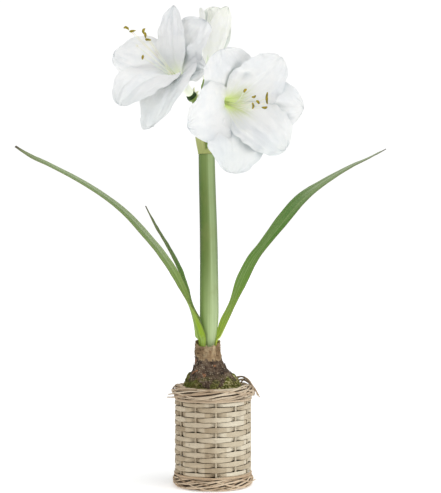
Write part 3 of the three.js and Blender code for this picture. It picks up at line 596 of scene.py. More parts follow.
def paint_willow(name, pale, mid, dark, bark, left_shade):
    """Willow: grain along the strand, a tone of its own for each length, and patches left of the bark.

    The basket's left is darker by the given share: painted shade, away from the light on the right.
    """
    p = Paint(name, Roughness=0.72, Specular_IOR_Level=0.3)
    grain = p.grain(0.035, 9.0, 4.0)
    fine = p.grain(0.12, 30.0)
    body = p.ramp(p.tone, [(0.0, dark), (0.45, mid), (1.0, pale)])
    body = p.layers(
        body,
        (p.mix(0.5, body, bark), grain, 0.35, 0.6, 0.4, 0.0),
        (pale, fine, 0.45, 0.7, 0.0, 0.35),
        (bark, p.noise(75.0, 4.0), 0.6, 0.76, 0.0, 0.5))
    # painted shade: darker on the basket's left, away from the light
    body = p.layers(body, (p.tinted(body, "b09a80"), p.sideways, -0.006, 0.014, left_shade, 0.0))
    p.bump(p.maths("ADD", grain, p.maths("MULTIPLY", fine, 0.7)), 0.0009, 0.6)
    return p.finish(body, p.band(fine, 0.3, 0.7, 0.62, 0.8))


def paint_bulb(name):
    """Bulb: a smooth tan neck over dark tunics with pale flecks, rusty spots and a little moss low down."""
    p = Paint(name, Roughness=0.85, Specular_IOR_Level=0.25)
    flat = p.node("ShaderNodeMapping", Vector=p.place, Scale=(1.0, 1.0, 5.0)).outputs[0]
    upright = p.node("ShaderNodeMapping", Vector=p.place, Scale=(1.0, 1.0, 0.25)).outputs[0]
    bands = p.noise(90.0, 4.0, flat)
    crumbs = p.noise(520.0, 3.0)
    tan = p.layers(
        p.ramp(p.noise(55.0, 3.0), [(0.34, "8f7556"), (0.5, "b49a76"), (0.62, "d2bd9a"), (0.74, "ae8f6b")]),
        ("775c40", p.noise(240.0, 3.0, upright), 0.48, 0.62, 0.0, 0.6),
        ("8a6d4e", bands, 0.56, 0.66, 0.0, 0.35),
        # painted shade: the neck is darker on its left, away from the light
        ("6a563e", p.sideways, -0.016, 0.004, 0.4, 0.0),
        (p.layers("463626", ("a18763", crumbs, 0.45, 0.55)), p.height, 0.193, 0.2, 0.0, 0.5))
    dark = p.layers(
        p.ramp(p.noise(120.0, 4.0), [(0.34, "32271f"), (0.46, "4e3e32"), (0.58, "665444"), (0.7, "7a6955")]),
        ("8f8270", bands, 0.6, 0.64, 0.0, 0.45),
        ("b9ab92", crumbs, 0.59, 0.66, 0.0, 0.7))
    rust = p.maths("MULTIPLY", p.band(p.noise(85.0, 1.0), 0.66, 0.7), p.band(p.height, 0.14, 0.165))
    dark = p.mix(p.maths("MULTIPLY", rust, 0.7), dark, "b27a55")
    low = p.band(p.height, 0.138, 0.16, 1.0, 0.0)
    green = p.maths("MULTIPLY", p.band(p.noise(95.0, 4.0), 0.46, 0.6), low)
    dark = p.mix(p.maths("MULTIPLY", green, 0.85), dark, p.layers("3f4a18", ("83843c", crumbs, 0.4, 0.6)))
    p.bump(p.maths("ADD", crumbs, p.maths("MULTIPLY", bands, 1.2)), 0.0016, 0.8)
    return p.finish(p.mix(p.tone, dark, tan))


def paint_moss(name):
    """Moss: brown where it is thin and green in patches, with painted shade at the shoots' feet, and pale dry
    specks, more of them on the right as painted light.
    """
    p = Paint(name, Roughness=0.95, Specular_IOR_Level=0.2)
    tones = [(0.0, "473f1f"), (0.25, "61602a"), (0.5, "6b742a"), (0.75, "838f3a"), (1.0, "bcc274")]
    colour = p.layers(
        p.ramp(p.tone, tones),
        ("8c7a50", p.noise(70.0), 0.45, 0.65, 0.0, 0.45),
        # painted shade at the shoots' feet, where they stand close
        ("33321a", p.along, 0.0, 0.7, 0.35, 0.0))
    # pale specks: real dry specks, and more of them on the right as painted light
    specks_and_light = p.maths("MULTIPLY", p.band(p.noise(330.0), 0.5, 0.58), p.band(p.sideways, 0.0, 0.012, 0.2, 0.75))
    p.bump(p.noise(900.0), 0.0008, 0.7)
    return p.finish(p.mix(specks_and_light, colour, "d6cc98"))


def paint_soil(name):
    p = Paint(name, Roughness=0.95, Specular_IOR_Level=0.15)
    crumbs = p.noise(600.0, 4.0)
    p.bump(crumbs, 0.003, 1.0)
    return p.finish(p.ramp(crumbs, [(0.3, "120d09"), (0.55, "33241a"), (0.75, "5d4734")]))


def paint_liner(name):
    p = Paint(name, Roughness=0.85, Specular_IOR_Level=0.2)
    creases = p.noise(160.0, 3.0)
    p.bump(creases, 0.002, 0.5)
    return p.finish(p.layers("1a1613", ("2d2823", creases, 0.4, 0.7)))


def paint_floor(name):
    """A white studio sheet that is lit a little from below."""
    p = Paint(name, Roughness=0.9, Specular_IOR_Level=0.1)
    p.glow((1, 1, 1, 1), FLOOR_GLOW)
    return p.finish(p.layers("fdfdfd", ("ffffff", p.noise(3.0), 0.3, 0.7)))


# ------------------------------------------------------------------ blooms


def bloom_frame(bloom):
    """The bloom's own axes as rows, across, up and along it, and its base."""
    along = unit(np.array(bloom["axis"], float))
    across = across_to(np.array([1.0, 0, 0]), along)
    return np.stack([across, np.cross(along, across), along]), np.array(bloom["base"], float)


def tepal_spine(bloom, tepal):
    """A tepal's middle line in the bloom's own frame.

    It gives places from 0 to 1 along it, its points, the way to its inner side, and its lean from the axis.
    """
    az, whorl, length, _, lean1, lean2 = tepal[:6]
    tube_end = bloom["tube"] / length
    outward = turned(1.0, math.radians(az), 0.0)

    def lean(s):
        return np.radians(bloom["lean"] + (lean1 - bloom["lean"]) * rise(tube_end * 0.55, 0.64, s)
                          + (lean2 - lean1) * rise(0.54, 1, s))

    steps = lean((np.arange(SPINE_STEPS) + 0.5) / SPINE_STEPS)
    run = np.concatenate([[0], np.cumsum(np.sin(steps))]) * length / SPINE_STEPS
    climb = np.concatenate([[0], np.cumsum(np.cos(steps))]) * length / SPINE_STEPS
    run += bloom["radius"] - whorl * WHORL_OFFSET
    knots = np.linspace(0, 1, SPINE_STEPS + 1)
    first = 0.3 * tube_end
    s = first + (1 - first) * (1 - (1 - np.linspace(0, 1, PETAL_ROWS)) ** 1.5)
    middle = outward * np.interp(s, knots, run)[:, None] + Z * np.interp(s, knots, climb)[:, None]
    inner = Z * np.sin(lean(s))[:, None] - outward * np.cos(lean(s))[:, None]
    middle = middle + inner * (whorl * WHORL_SPREAD * rise(0.6 * tube_end, 0.5, s))[:, None]
    return s, middle, inner, lean(s)


def tepal_grid(bloom, tepal, seed, folds):
    """The middle surface of one tepal in the bloom's own frame, and its marks."""
    az, _, length, width, _, _, cup, ruffle, waves, phase, blunt, swerve = tepal
    tube_end = bloom["tube"] / length
    s, middle, inner, lean = tepal_spine(bloom, tepal)
    sideways = np.array([-math.sin(math.radians(az)), math.cos(math.radians(az)), 0])
    reach = np.maximum(np.hypot(middle[:, 0], middle[:, 1]), 1)
    middle = middle + sideways * (swerve * np.clip((s - 0.35) / 0.65, 0, 1) ** 2)[:, None]

    tip = np.clip((s - 0.55) / 0.45, 0, 1)
    wide = 0.16 + 0.84 * rise(tube_end * 0.5, 0.6, s)
    room = reach * (0.56 + 3.44 * rise(0.55 * tube_end, 1.3 * tube_end, s))
    half = np.maximum(np.minimum(width / 2 * wide, room) * (1 - tip**2) ** blunt, 0.5)
    opening = rise(tube_end * 0.7, 0.55, s)
    bend = (1 - opening) * np.cos(lean) / reach + opening * math.radians(cup) / (width / 2)

    v = np.linspace(-1, 1, PETAL_COLUMNS)[None, :]
    s, half, bend = s[:, None], half[:, None], bend[:, None]
    free = rise(0.4, 0.75, s)
    # the outline wanders a little on each side, in a few shallow scallops
    side = np.sign(v)
    scallop = wander(stacked(s * 7, side * 3.1, 0.5), seed)
    turn = bend * v * half * (1 + 0.08 * free * scallop * np.abs(v) ** 3)
    wave = np.sin(TAU * (waves * s + phase + 0.27 * side))
    frill = np.sin(TAU * (waves * 3.1 * s + 3 * phase + 0.4 * side) + 2 * scallop)
    cockle = wander(stacked(s * 4.2, v * 2.2, 1.7), seed + 11)
    crinkle = wander(stacked(s * 11, v * 5, 2.9), seed + 12)
    rib = 1.6 * rise(0.2, 0.5, s) * (1 - rise(0.8, 1, s)) * np.exp(-((v / 0.1) ** 2))
    ridges = 0.12 * np.sin(TAU * 7.5 * v * (0.4 + 0.6 * half / (width / 2))) * rise(0.15, 0.4, s)
    lift = ((1 - np.cos(turn)) / bend + ruffle * rise(0.3, 0.7, s) * np.abs(v) ** 2.2 * wave - rib
            + 0.75 * ruffle * free * np.abs(v) ** 4 * frill + free * (2.2 * cockle + 0.8 * crinkle) + ridges)
    for at, beside, long, broad, height in folds:
        lift = lift + height * np.exp(-((s - at) / long) ** 2 - ((v - beside) / broad) ** 2)
    grid = middle[:, None] + sideways * (np.sin(turn) / bend)[..., None] + inner[:, None] * lift[..., None]
    return grid, stacked(s * length, v, seed * 0.173 % 1)


def make_bloom(name, material):
    bloom = BLOOMS[name]
    shape = Shape()
    axes, base = bloom_frame(bloom)
    for n, tepal in enumerate(bloom["tepals"]):
        folds = [fold[1:] for fold in FOLDS[name] if fold[0] == n]
        grid, marks = tepal_grid(bloom, tepal, 10 * len(name) + n, folds)
        thin = PETAL_THICKNESS * (1 - 0.65 * np.abs(marks[..., 1]) ** 5)
        thin = thin * (1 - 0.4 * rise(0.8, 1, marks[..., 0] / tepal[2]))
        add_blade(shape, grid @ axes + base, thin, marks, marks + [PALE_BACK, 0, 0])
    add_bloom_tube(shape, bloom)
    shape.piece(name, "petal", material)


def add_bloom_tube(shape, bloom):
    """The tube that the tepals grow out of: it thins out where they part."""
    axes, base = bloom_frame(bloom)
    end = bloom["tube"] * 0.62
    heights = np.linspace(0, end, 24)
    middle = bloom["radius"] + heights * math.tan(math.radians(bloom["lean"]))
    wall = 1.3 * (1 - 0.75 * rise(0.3 * end, end, heights))
    outside = np.stack([middle + wall, heights], -1)
    inside = np.stack([middle - wall, heights], -1)[::-1]
    inside = inside[inside[:, 1] > TUBE_FLOOR]
    floor = [(middle[0] - 1.3, TUBE_FLOOR), (NEAR_AXIS, TUBE_FLOOR)]
    profile = np.concatenate([[(NEAR_AXIS, 0.05)], outside, inside, floor])
    sides = 60
    rings = turned_rings(profile, sides)
    lobes = 0.35 * np.cos(3 * circle(sides)) * rise(0, 8, rings[..., 2])
    rings[..., :2] *= (1 + lobes / np.maximum(profile[:, :1], 4))[..., None]
    pale = np.where(np.arange(len(rings)) <= len(outside), PALE_BACK, 0)[:, None]
    add_tube(shape, rings @ axes + base, stacked(rings[..., 2] + pale, 0.5, 0.0))


# For each bloom: where its filaments curve up, as shares of their tips' places, and each tip in the bloom's
# own frame with the way that its anther lies there, in degrees round the axis, and the anther's length. The
# style is last.
STAMENS = {
    "bloom_right": ((0.45, 0.35, 0.62), [
        (-3, 17, 92, 50, 6), (8, 9, 96, 20, 6), (13, 2, 98, -45, 6), (7, -3, 95, 90, 8), (22, 7, 106, 90, 16),
        (19, -5, 106, 5, 8), (14, 0, 112, 0, 0),
    ]),
    "bloom_left": ((0.18, 0.18, 0.6), [
        (-48, 52, 104, -35, 10), (-41, 47, 100, -10, 10), (-24, 43, 98, 80, 10), (-19, 28, 95, -30, 10),
        (-22, 36, 97, -80, 11), (-27, 2, 92, 90, 7), (-32, 17, 100, 0, 0),
    ]),
}
FILAMENT_RADIUS, FILAMENT_SAG, ANTHER_RADIUS = 0.65, 5.2, 1.6


def filament_path(tip, elbow, a, floor):
    """From the foot inside the tube to the tip, starting at an angle a round the foot."""
    x, y, z = tip
    dx, dy = math.cos(a), math.sin(a)
    knee = (elbow[0] * x + 2 * dx, elbow[1] * y + 2 * dy - FILAMENT_SAG, elbow[2] * z)
    stations = [(1.2 * dx, 1.2 * dy, floor + 2), (2 * dx, 2 * dy, 20), knee, tip]
    return spline(stations, np.linspace(0, 1, 44))


def anther_rings(tip, lie, long, seed):
    """A bean-shaped anther, split along its length, bowed over the filament's end."""
    u = np.linspace(-1, 1, 26)
    way = turned(1.0, lie, 0.0)
    bow = 0.14 * long * np.array([-way[1], way[0], 0.0]) * (1 if seed % 2 else -1)
    spine = tip + np.outer(u, way * long / 2) + np.outer(u**2 - 0.3, bow + [0, 0, -0.16 * long])
    girth = ANTHER_RADIUS * np.sqrt(np.clip(1.02 - u**2, 0, 1)) + 0.06
    sides = 16
    pod = rod_rings(spine, girth, sides, wobble=0.45, seed=seed, start=(0, 0, 1))
    groove = 1 - 0.25 * np.exp(-((np.cos(circle(sides)) - 1) ** 2) / 0.02)
    return spine[:, None] + (pod - spine[:, None]) * groove[:, None]


def add_stigma(shape, tip, axes, base):
    """The style ends in three short lobes."""
    for a in circle(3):
        lobe = tip + np.outer(np.linspace(-0.2, 2.6, 8), turned(1.0, a, 0.5))
        add_tube(shape, rod_rings(lobe, 0.75 - 0.04 * np.arange(8), 8) @ axes + base, (110, 0, 0))


def make_stamens(name, bloom_name, filament, anther):
    axes, base = bloom_frame(BLOOMS[bloom_name])
    shape = Shape()
    floor = TUBE_FLOOR + GAP
    foot = [(NEAR_AXIS, floor), (2.7, floor), (2.5, floor + 3), (1.6, floor + 5), (NEAR_AXIS, floor + 5.6)]
    add_tube(shape, turned_rings(foot, 24) @ axes + base, (floor, 0, 0))
    elbow, each = STAMENS[bloom_name]
    for n, (x, y, z, lie, long) in enumerate(each):
        path = filament_path((x, y, z), elbow, TAU * n / len(each), floor)
        radii = FILAMENT_RADIUS * (1.1 - 0.45 * np.linspace(0, 1, len(path)))
        add_tube(shape, rod_rings(path, radii, 10) @ axes + base, rod_marks(path, 10, 0.0))
        if long:
            pod = anther_rings(path[-1], math.radians(lie), long, n)
            add_tube(shape, pod @ axes + base, (0, 0, 0.1 * n), slot=1)
        else:
            add_stigma(shape, path[-1], axes, base)
    shape.piece(name, "stamen", filament, anther)


# ------------------------------------------------------------------ stem, spathe and leaves


def stalk_path(bloom, start, bow, ovary):
    """Stations of x, y, z, radius from the top of the scape to a bloom, swelling into its ovary's radius."""
    axes, base = bloom_frame(bloom)
    down = -axes[2] * OVARY_LENGTH
    middle = (np.array(start) + base + down) / 2 + bow
    places = [start, middle, base + down, base + down * 0.55, base + down * 0.2, base - axes[2] * GAP]
    radii = [STALK_RADIUS, STALK_RADIUS, STALK_RADIUS, ovary, ovary * 0.92, bloom["radius"] + 0.4]
    return [(*p, r) for p, r in zip(places, radii)]


def make_scape(material):
    shape = Shape()
    sides = 64
    run = spline(SCAPE, np.linspace(0, 1, 120))
    x, y, _, _ = SCAPE[-1]
    # the top is hidden in the spathe
    path = np.concatenate([run[:, :3], [(x, y, z) for z in (462.4, 464, SCAPE_TOP - 1, SCAPE_TOP)]])
    radii = np.concatenate([run[:, 3], [9.2, 9.0, 9.0, 7.5]])
    rings = rod_rings(path, radii, sides)
    turn = circle(sides)
    ribs = 0.10 * np.sin(11 * turn) + 0.05 * np.sin(23 * turn + 1)
    rings = rings + unit(rings - path[:, None]) * ribs[:, None]
    marks = rod_marks(path, sides, 0.0)
    # from -1 on its left side to 1 on its right side
    marks[..., 1] = (rings[..., 0] - path[:, :1]) / radii[:, None]
    add_tube(shape, rings, marks)
    add_crown(shape, x, y)
    low = SCAPE_TOP - 3
    add_stalk(shape, "bloom_right", (x + 3.5, y - 3, low), (0, 5, 4), OVARY_RADIUS)
    add_stalk(shape, "bloom_left", (x - 4, y - 1, low), (5, 2, 0), OVARY_RADIUS)
    add_stalk(shape, "bloom_top", (x + 0.5, y + 4, low), (2, 5, 0), BUD_OVARY_RADIUS)
    add_bracteoles(shape, BLOOMS["bloom_left"])
    shape.piece("scape", "stem", material)


def add_stalk(shape, bloom_name, start, bow, ovary):
    """A flower's stalk, with the three-lobed ovary at its end."""
    ts = np.linspace(0, 1, 80)
    run = spline(stalk_path(BLOOMS[bloom_name], start, bow, ovary), ts)
    path = run[:, :3]
    sides = 36
    swell = rise(4.6, 6.4, run[:, 3])
    lobes = 1 + 0.09 * swell[:, None] * np.cos(3 * circle(sides))
    rings = path[:, None] + (rod_rings(path, run[:, 3], sides) - path[:, None]) * lobes[..., None]
    add_tube(shape, rings, rod_marks(path, sides, 0.5 + 0.5 * swell * rise(0.55, 0.75, ts)))


def add_crown(shape, x, y):
    """The swelling that the flower stalks stand on, inside the spathe."""
    t = np.linspace(0, 1, 14)
    add_rod(shape, stacked(x, y, SCAPE_TOP - 2 + 15 * t), 8.6 * np.sqrt(1.02 - t**2), 24, 0.5)


def add_bracteoles(shape, bloom):
    """Small pale pointed scales that stand round the top of an ovary."""
    axes, base = bloom_frame(bloom)
    root = base - axes[2] * OVARY_LENGTH * 0.6
    back = np.array([0.0, 1.0, 0.0])
    t = np.linspace(0, 1, 14)
    v = np.linspace(-1, 1, 7)
    for tip in ((-6, 0, 7), (-2, 1, 14), (3, 2, 14), (9, 3, 9), (12, 2, 3)):
        way = unit(np.array(tip, float))
        run = spline([root + way * 2, root + way * 5.5 + back * 2.5, root + tip], t)
        side = unit(np.cross(unit(np.gradient(run, axis=0)), back))
        half = 3.4 * (1 - t**2.2) + 0.15
        grid = run[:, None] + side[:, None] * (half[:, None] * v)[..., None] + back * (1.2 * v**2)[:, None]
        add_blade(shape, grid, 0.5, stacked(t[:, None], 0 * v, 1.5))


def strap_grid(stations, rows, columns):
    """A strap blade's middle surface, with the places along and across it and the way that it faces."""
    ts = np.linspace(0, 1, rows)
    run = spline(stations, ts)
    centre = run[:, :3]
    tangent = unit(spline(stations, ts + 1e-4)[:, :3] - spline(stations, ts - 1e-4)[:, :3])
    tangent[0] = unit(centre[1] - centre[0])
    tangent[-1] = unit(centre[-1] - centre[-2])
    width, roll, curl = run[:, 3:4], np.radians(run[:, 4:5]), run[:, 5:6]
    back = np.array([0.0, 1.0, 0.0])
    outwards = 1 if stations[-1][0] > stations[0][0] else -1
    up = unit(np.cross(back, tangent))
    up = np.where(up[:, :1] * outwards > 0, -up, up)
    face = across_to(up * np.cos(roll) + back * np.sin(roll), tangent)
    bend = np.maximum(np.radians(curl), 0.02) / width
    v = np.linspace(-1, 1, columns)[None, :]
    turn = bend * v / 2 * width
    beside, lift = (np.sin(turn) / bend)[..., None], ((1 - np.cos(turn)) / bend)[..., None]
    grid = centre[:, None] + np.cross(tangent, face)[:, None] * beside + face[:, None] * lift
    return grid, ts[:, None], v, face[:, None]


def make_leaf(name, material, seed):
    grid, t, v, face = strap_grid(LEAVES[name], LEAF_ROWS, STRAP_COLUMNS)
    ridges = 0.06 * np.sin(TAU * 4.5 * v) * rise(0.02, 0.1, t) * (1 - rise(0.9, 1, t))
    edge = 0.5 * np.abs(v) ** 3 * wander(stacked(t * 26, np.sign(v), 0.3), seed)
    grid = grid + face * (ridges + edge * rise(0.1, 0.3, t))[..., None]
    thick = LEAF_THICKNESS * (1 - 0.6 * np.abs(v) ** 4) * (1 - 0.6 * rise(0.85, 1, t))
    shape = Shape()
    add_blade(shape, grid, thick, stacked(t, v, seed * 0.21))
    shape.piece(name, "leaf", material)


def make_spathe(material):
    """Two papery bracts that grow from a collar round the top of the scape."""
    shape = Shape()
    for n, stations in enumerate(SPATHE_BRACTS):
        grid, t, v, face = strap_grid(stations, BRACT_ROWS, STRAP_COLUMNS)
        crumple = wander(stacked(t * 3.5, v * 2.5, 0.4), 50 + n)
        pleats = 0.12 * np.sin(TAU * 4 * v)
        grid = grid + face * (0.7 * crumple * rise(0.1, 0.5, t) + pleats)[..., None]
        thick = SPATHE_THICKNESS * (1 - 0.6 * rise(0.3, 1, t)) * (1 - 0.4 * v**4)
        add_blade(shape, grid, thick, stacked(t, v, 0.3 * n))
    lip = (COLLAR_OUTER + COLLAR_INNER) / 2
    profile = [(COLLAR_INNER, COLLAR_LOW), (COLLAR_OUTER - 0.3, COLLAR_LOW), (COLLAR_OUTER, COLLAR_LOW + 0.5),
               (COLLAR_OUTER, COLLAR_HIGH - 2), (lip, COLLAR_HIGH), (COLLAR_INNER, COLLAR_HIGH)]
    add_tube(shape, turned_rings(profile, 72, SCAPE[-1][0]), (0, 0, 0), looped=True)
    shape.piece("spathe", "spathe", material)


# ------------------------------------------------------------------ bulb, moss and soil


def bulb_x(z):
    """The bulb's middle line leans from the basket's middle to its neck."""
    return BULB_FOOT_X + (BULB_NECK_X - BULB_FOOT_X) * rise(138, 190, z)


def bulb_radius(z):
    radii, heights = np.array(BULB_PROFILE, float).T
    return np.interp(z, heights, radii)


def bulb_skin(turn, z):
    """How far the skin stands out at each point, and how much of it is the tan neck."""
    place = turned(1.0, turn, z * 0.05)
    flakes = wander(place * [2.6, 2.6, 2.2], 62, 4)
    steps = np.round(flakes * 3) / 3
    bands = wander(place * [0.7, 0.7, 9.0], 63)
    # the neck is a sleeve with a V-shaped lower edge over the dark tunics
    beside = (1 - np.sin(turn - math.radians(18))) / 2
    hem = 180.5 - 6.3 * rise(0.5, 1, beside) + 0.9 * wander1(turn * 2.5, 64)
    neck = rise(-0.4, 0.4, z - hem)
    return (1 - neck) * (0.45 * steps + 0.35 * flakes) + neck * (0.12 * bands + 0.15 * flakes + 0.7), neck


def make_bulb(material):
    turn = circle(ROUND_SEGMENTS)
    heights = np.concatenate([[76, 77, 78.5], np.linspace(80, NECK_TOP, 130)])
    smooth_radius = np.convolve(np.pad(bulb_radius(heights), 3, mode="edge"), np.ones(7) / 7, mode="valid")
    smooth_radius[:3] = [NEAR_AXIS, 8, 16]
    # the neck's torn rim stands highest at its sides and dips at the front
    front = (1 - np.sin(turn)) / 2
    torn = wander1(turn * 3.0, 60) * 1.6 + 1.1 * wander1(turn * 9.0, 61)
    rim = NECK_TOP + 1.0 - 7.0 * rise(0.5, 0.95, front) + torn * (1 - 0.5 * front) - 0.4
    z = heights[:, None] + rise(176, NECK_TOP, heights)[:, None] * (rim - NECK_TOP)
    rough, neck = bulb_skin(turn, z)
    radius = smooth_radius[:, None] + rough * rise(78, 90, z)
    radius = radius + 0.9 * rise(NECK_TOP - 7, NECK_TOP, z) * np.maximum(0, wander1(turn * 5, 65))
    outside = turned(radius, turn, z, bulb_x(z))
    # the rim turns over into the neck's hollow, which has a dark floor
    edge, edge_z = radius[-1], outside[-1, :, 2]
    inside = [turned(edge + (NECK_HOLE - edge) * hole, turn, edge_z - drop, BULB_NECK_X)
              for drop, hole in ((0.3, 0.55), (1.5, 0.9), (8, 1.0), (14, 1.0))]
    floor = [turned(r, turn, NECK_FLOOR, BULB_NECK_X) for r in (NECK_HOLE - 0.4, 6, NEAR_AXIS)]
    tan = np.concatenate([neck, np.ones((len(inside), len(turn))), np.zeros((len(floor), len(turn)))])
    shape = Shape()
    add_tube(shape, np.concatenate([outside, inside, floor]), stacked(0.0, 0.0, tan))
    add_flakes(shape, random.Random(BULB_SEED))
    shape.piece("bulb", "bulb", material)


def add_flakes(shape, draw):
    """Loose papery scales on the bulb, each a small curved scrap that lifts at its upper edge."""
    t = np.linspace(0, 1, 6)[:, None]
    u = np.linspace(-1, 1, 7)
    for _ in range(FLAKES):
        z = draw.uniform(128, 197)
        a = draw.uniform(0, TAU)
        high, wide = draw.uniform(2, 5.5), draw.uniform(2.5, 8)
        neck = 1.0 if z > 178 else 0.0
        seed = draw.randrange(500)
        zs = z + high * (t - 0.5) * (1 + 0.35 * wander1(u * 2.4, seed))
        lift = 0.75 + 0.5 * neck + draw.uniform(0.2, 0.9) * t**2
        r = bulb_radius(zs) + lift + 0.15 * wander1(t * 3, seed + 1)
        angle = a + u * wide / 2 / np.maximum(r, 8) * (1 - 0.35 * t**2)
        grid = turned(r, angle, zs, bulb_x(zs))
        add_blade(shape, grid, 0.25, np.broadcast_to((0.0, 0.0, neck), grid.shape))


ROUND_SEGMENTS = 150      # round the bulb and the moss
FLAKES = 150
MOSS_BOTTOM = 121.7
# The moss skin's section from its outer foot up against the bulb: radius, height over its bottom, and its
# share of the flank's rise. It stands higher on the bulb's left and right flanks than at the front and back.
MOSS_SLOPE = [
    (42.0, 0, 0), (42.2, 6, 0.3), (39.2, 12, 0.5), (36.6, 17, 0.7),
    (34.3, 20.5, 0.85), (31.8, 23, 1), (30.2, 24.2, 1), (27, 15, 0.6),
]
FLANK_RISE = 9.0
MOSS_TUFTS, TUFT_SHOOTS = 2600, 8
# A shoot is a three-sided stem from its foot to a knee, and a point on it.
SHOOT_FACES = [(0, 1, 4, 3), (3, 4, 6), (1, 2, 5, 4), (4, 5, 6), (2, 0, 3, 5), (5, 3, 6), (2, 1, 0)]


def moss_rise(a):
    """How much higher the moss reaches at an angle round the bulb."""
    return FLANK_RISE * np.cos(a) ** 2 + 2.2 * np.sin(5 * a) + 1.6 * np.cos(9 * a + 1)


def make_moss(material):
    shape = Shape()
    a = circle(ROUND_SEGMENTS)
    corners = [turned(r, a, MOSS_BOTTOM + h + share * moss_rise(a), bulb_x(MOSS_BOTTOM + h))
               for r, h, share in [(27, 0, 0), *MOSS_SLOPE]]
    edges = zip(corners, corners[1:] + corners[:1])
    rings = np.stack([p + (q - p) * w for p, q in edges for w in (0, 0.25, 0.5, 0.75)])
    lumps = wander(rings * 0.16, 70, 3)
    spread = 0.8 * lumps * rise(MOSS_BOTTOM, MOSS_BOTTOM + 4, rings[..., 2])
    rings = rings + turned(1.0, a, 0.5) * spread[..., None]
    marks = stacked(0.4, 0.0, 0.3 + 0.2 * lumps)
    add_tube(shape, rings[::-1], marks[::-1], looped=True)
    add_tufts(shape, random.Random(MOSS_SEED))
    shape.piece("moss", "moss", material)


def moss_place(a, up):
    """A point on the moss skin at an angle round it and a share of its height."""
    radii, heights = zip(*[(r, MOSS_BOTTOM + h + share * moss_rise(a)) for r, h, share in MOSS_SLOPE[:-1]])
    steps = np.linspace(0, 1, len(radii))
    radius, height = np.interp(up, steps, radii), np.interp(up, steps, heights)
    return turned(radius, a, height, bulb_x(height))


def add_tufts(shape, draw):
    """Short moss shoots all over the skin, thickest and greenest on the bulb's flanks."""
    for _ in range(MOSS_TUFTS):
        a = draw.uniform(0, TAU)
        flank = math.cos(a) ** 2
        if draw.random() > 0.3 + 0.7 * flank ** 0.7:
            continue
        up = draw.uniform(0.1, 1.0)
        root = moss_place(a, up) - [0, 0, 0.6]
        green = draw.uniform(0.15, 0.95) * (0.5 + 0.5 * flank)
        for _ in range(TUFT_SHOOTS):
            add_shoot(shape, draw, root, turned(1.0, a, 0.6), 1.1 - 0.45 * up, green)


def add_shoot(shape, draw, root, out, size, green):
    """One shoot that stands somewhere near root and grows roughly the way of out."""
    way = unit(out + [draw.gauss(0, 0.7), draw.gauss(0, 0.7), draw.gauss(0, 0.5)])
    long, fat = draw.uniform(0.8, 2.2) * size, draw.uniform(0.18, 0.34)
    side = unit(np.cross(way, [0.31, 0.77, 0.55]))
    other = np.cross(way, side)
    foot = root + [draw.uniform(-1.5, 1.5), draw.uniform(-1.5, 1.5), draw.uniform(-0.8, 0.8)]
    knee = foot + way * long * 0.5
    point = knee + (way + [0, 0, draw.uniform(-0.6, 0.5)]) * long * 0.5
    ring = np.array([side, -0.5 * side + 0.87 * other, -0.5 * side - 0.87 * other])
    tone = min(1.0, max(0.0, green + draw.uniform(-0.3, 0.3)))
    marks = [(0.1, 0, tone)] * 3 + [(0.6, 0, tone)] * 3 + [(1.0, 0, min(1.0, tone + 0.35))]
    shape.add(np.concatenate([foot + fat * ring, knee + 0.85 * fat * ring, [point]]), SHOOT_FACES, marks)


# ------------------------------------------------------------------ basket


def make_stake(n, material, draw):
    z = np.linspace(FOOT_TOP + GAP, RIM_BOTTOM - GAP, 60)
    angle = math.radians(FIRST_STAKE) + TAU * n / STAKES + 0.006 * wander1(z * 0.05, 80 + n)
    radii = STAKE_RADIUS * (1 + 0.05 * wander1(z * 0.2, 90 + n))
    shape = Shape()
    tone = draw.uniform(0.5, 0.95)
    add_rod(shape, turned(WALL_RADIUS, angle, z), radii, 14, tone, wobble=0.08, seed=100 + n)
    shape.piece(f"basket_stake_{n + 1:02d}", "willow", material)


def strand_share(k):
    """The strand's size after passing k stakes: it thins out towards both of its ends."""
    from_end = np.minimum(k, WEAVE_TURNS * STAKES - k) / STAKES
    return WEAVE_END_SHARE + (1 - WEAVE_END_SHARE) * np.clip(from_end / WEAVE_TAPER_TURNS, 0, 1)


# Section of the split willow strand, its height and depth as shares: a crowned outer face, worn edges and
# a flat inner face.
STRAND_SECTION = np.array([
    (-0.5, -0.2), (-0.47, 0.22), (-0.38, 0.4), (-0.2, 0.5), (0, 0.53), (0.2, 0.5), (0.38, 0.4), (0.47, 0.22),
    (0.5, -0.2), (0.4, -0.42), (0.14, -0.48), (-0.14, -0.48), (-0.4, -0.42),
])


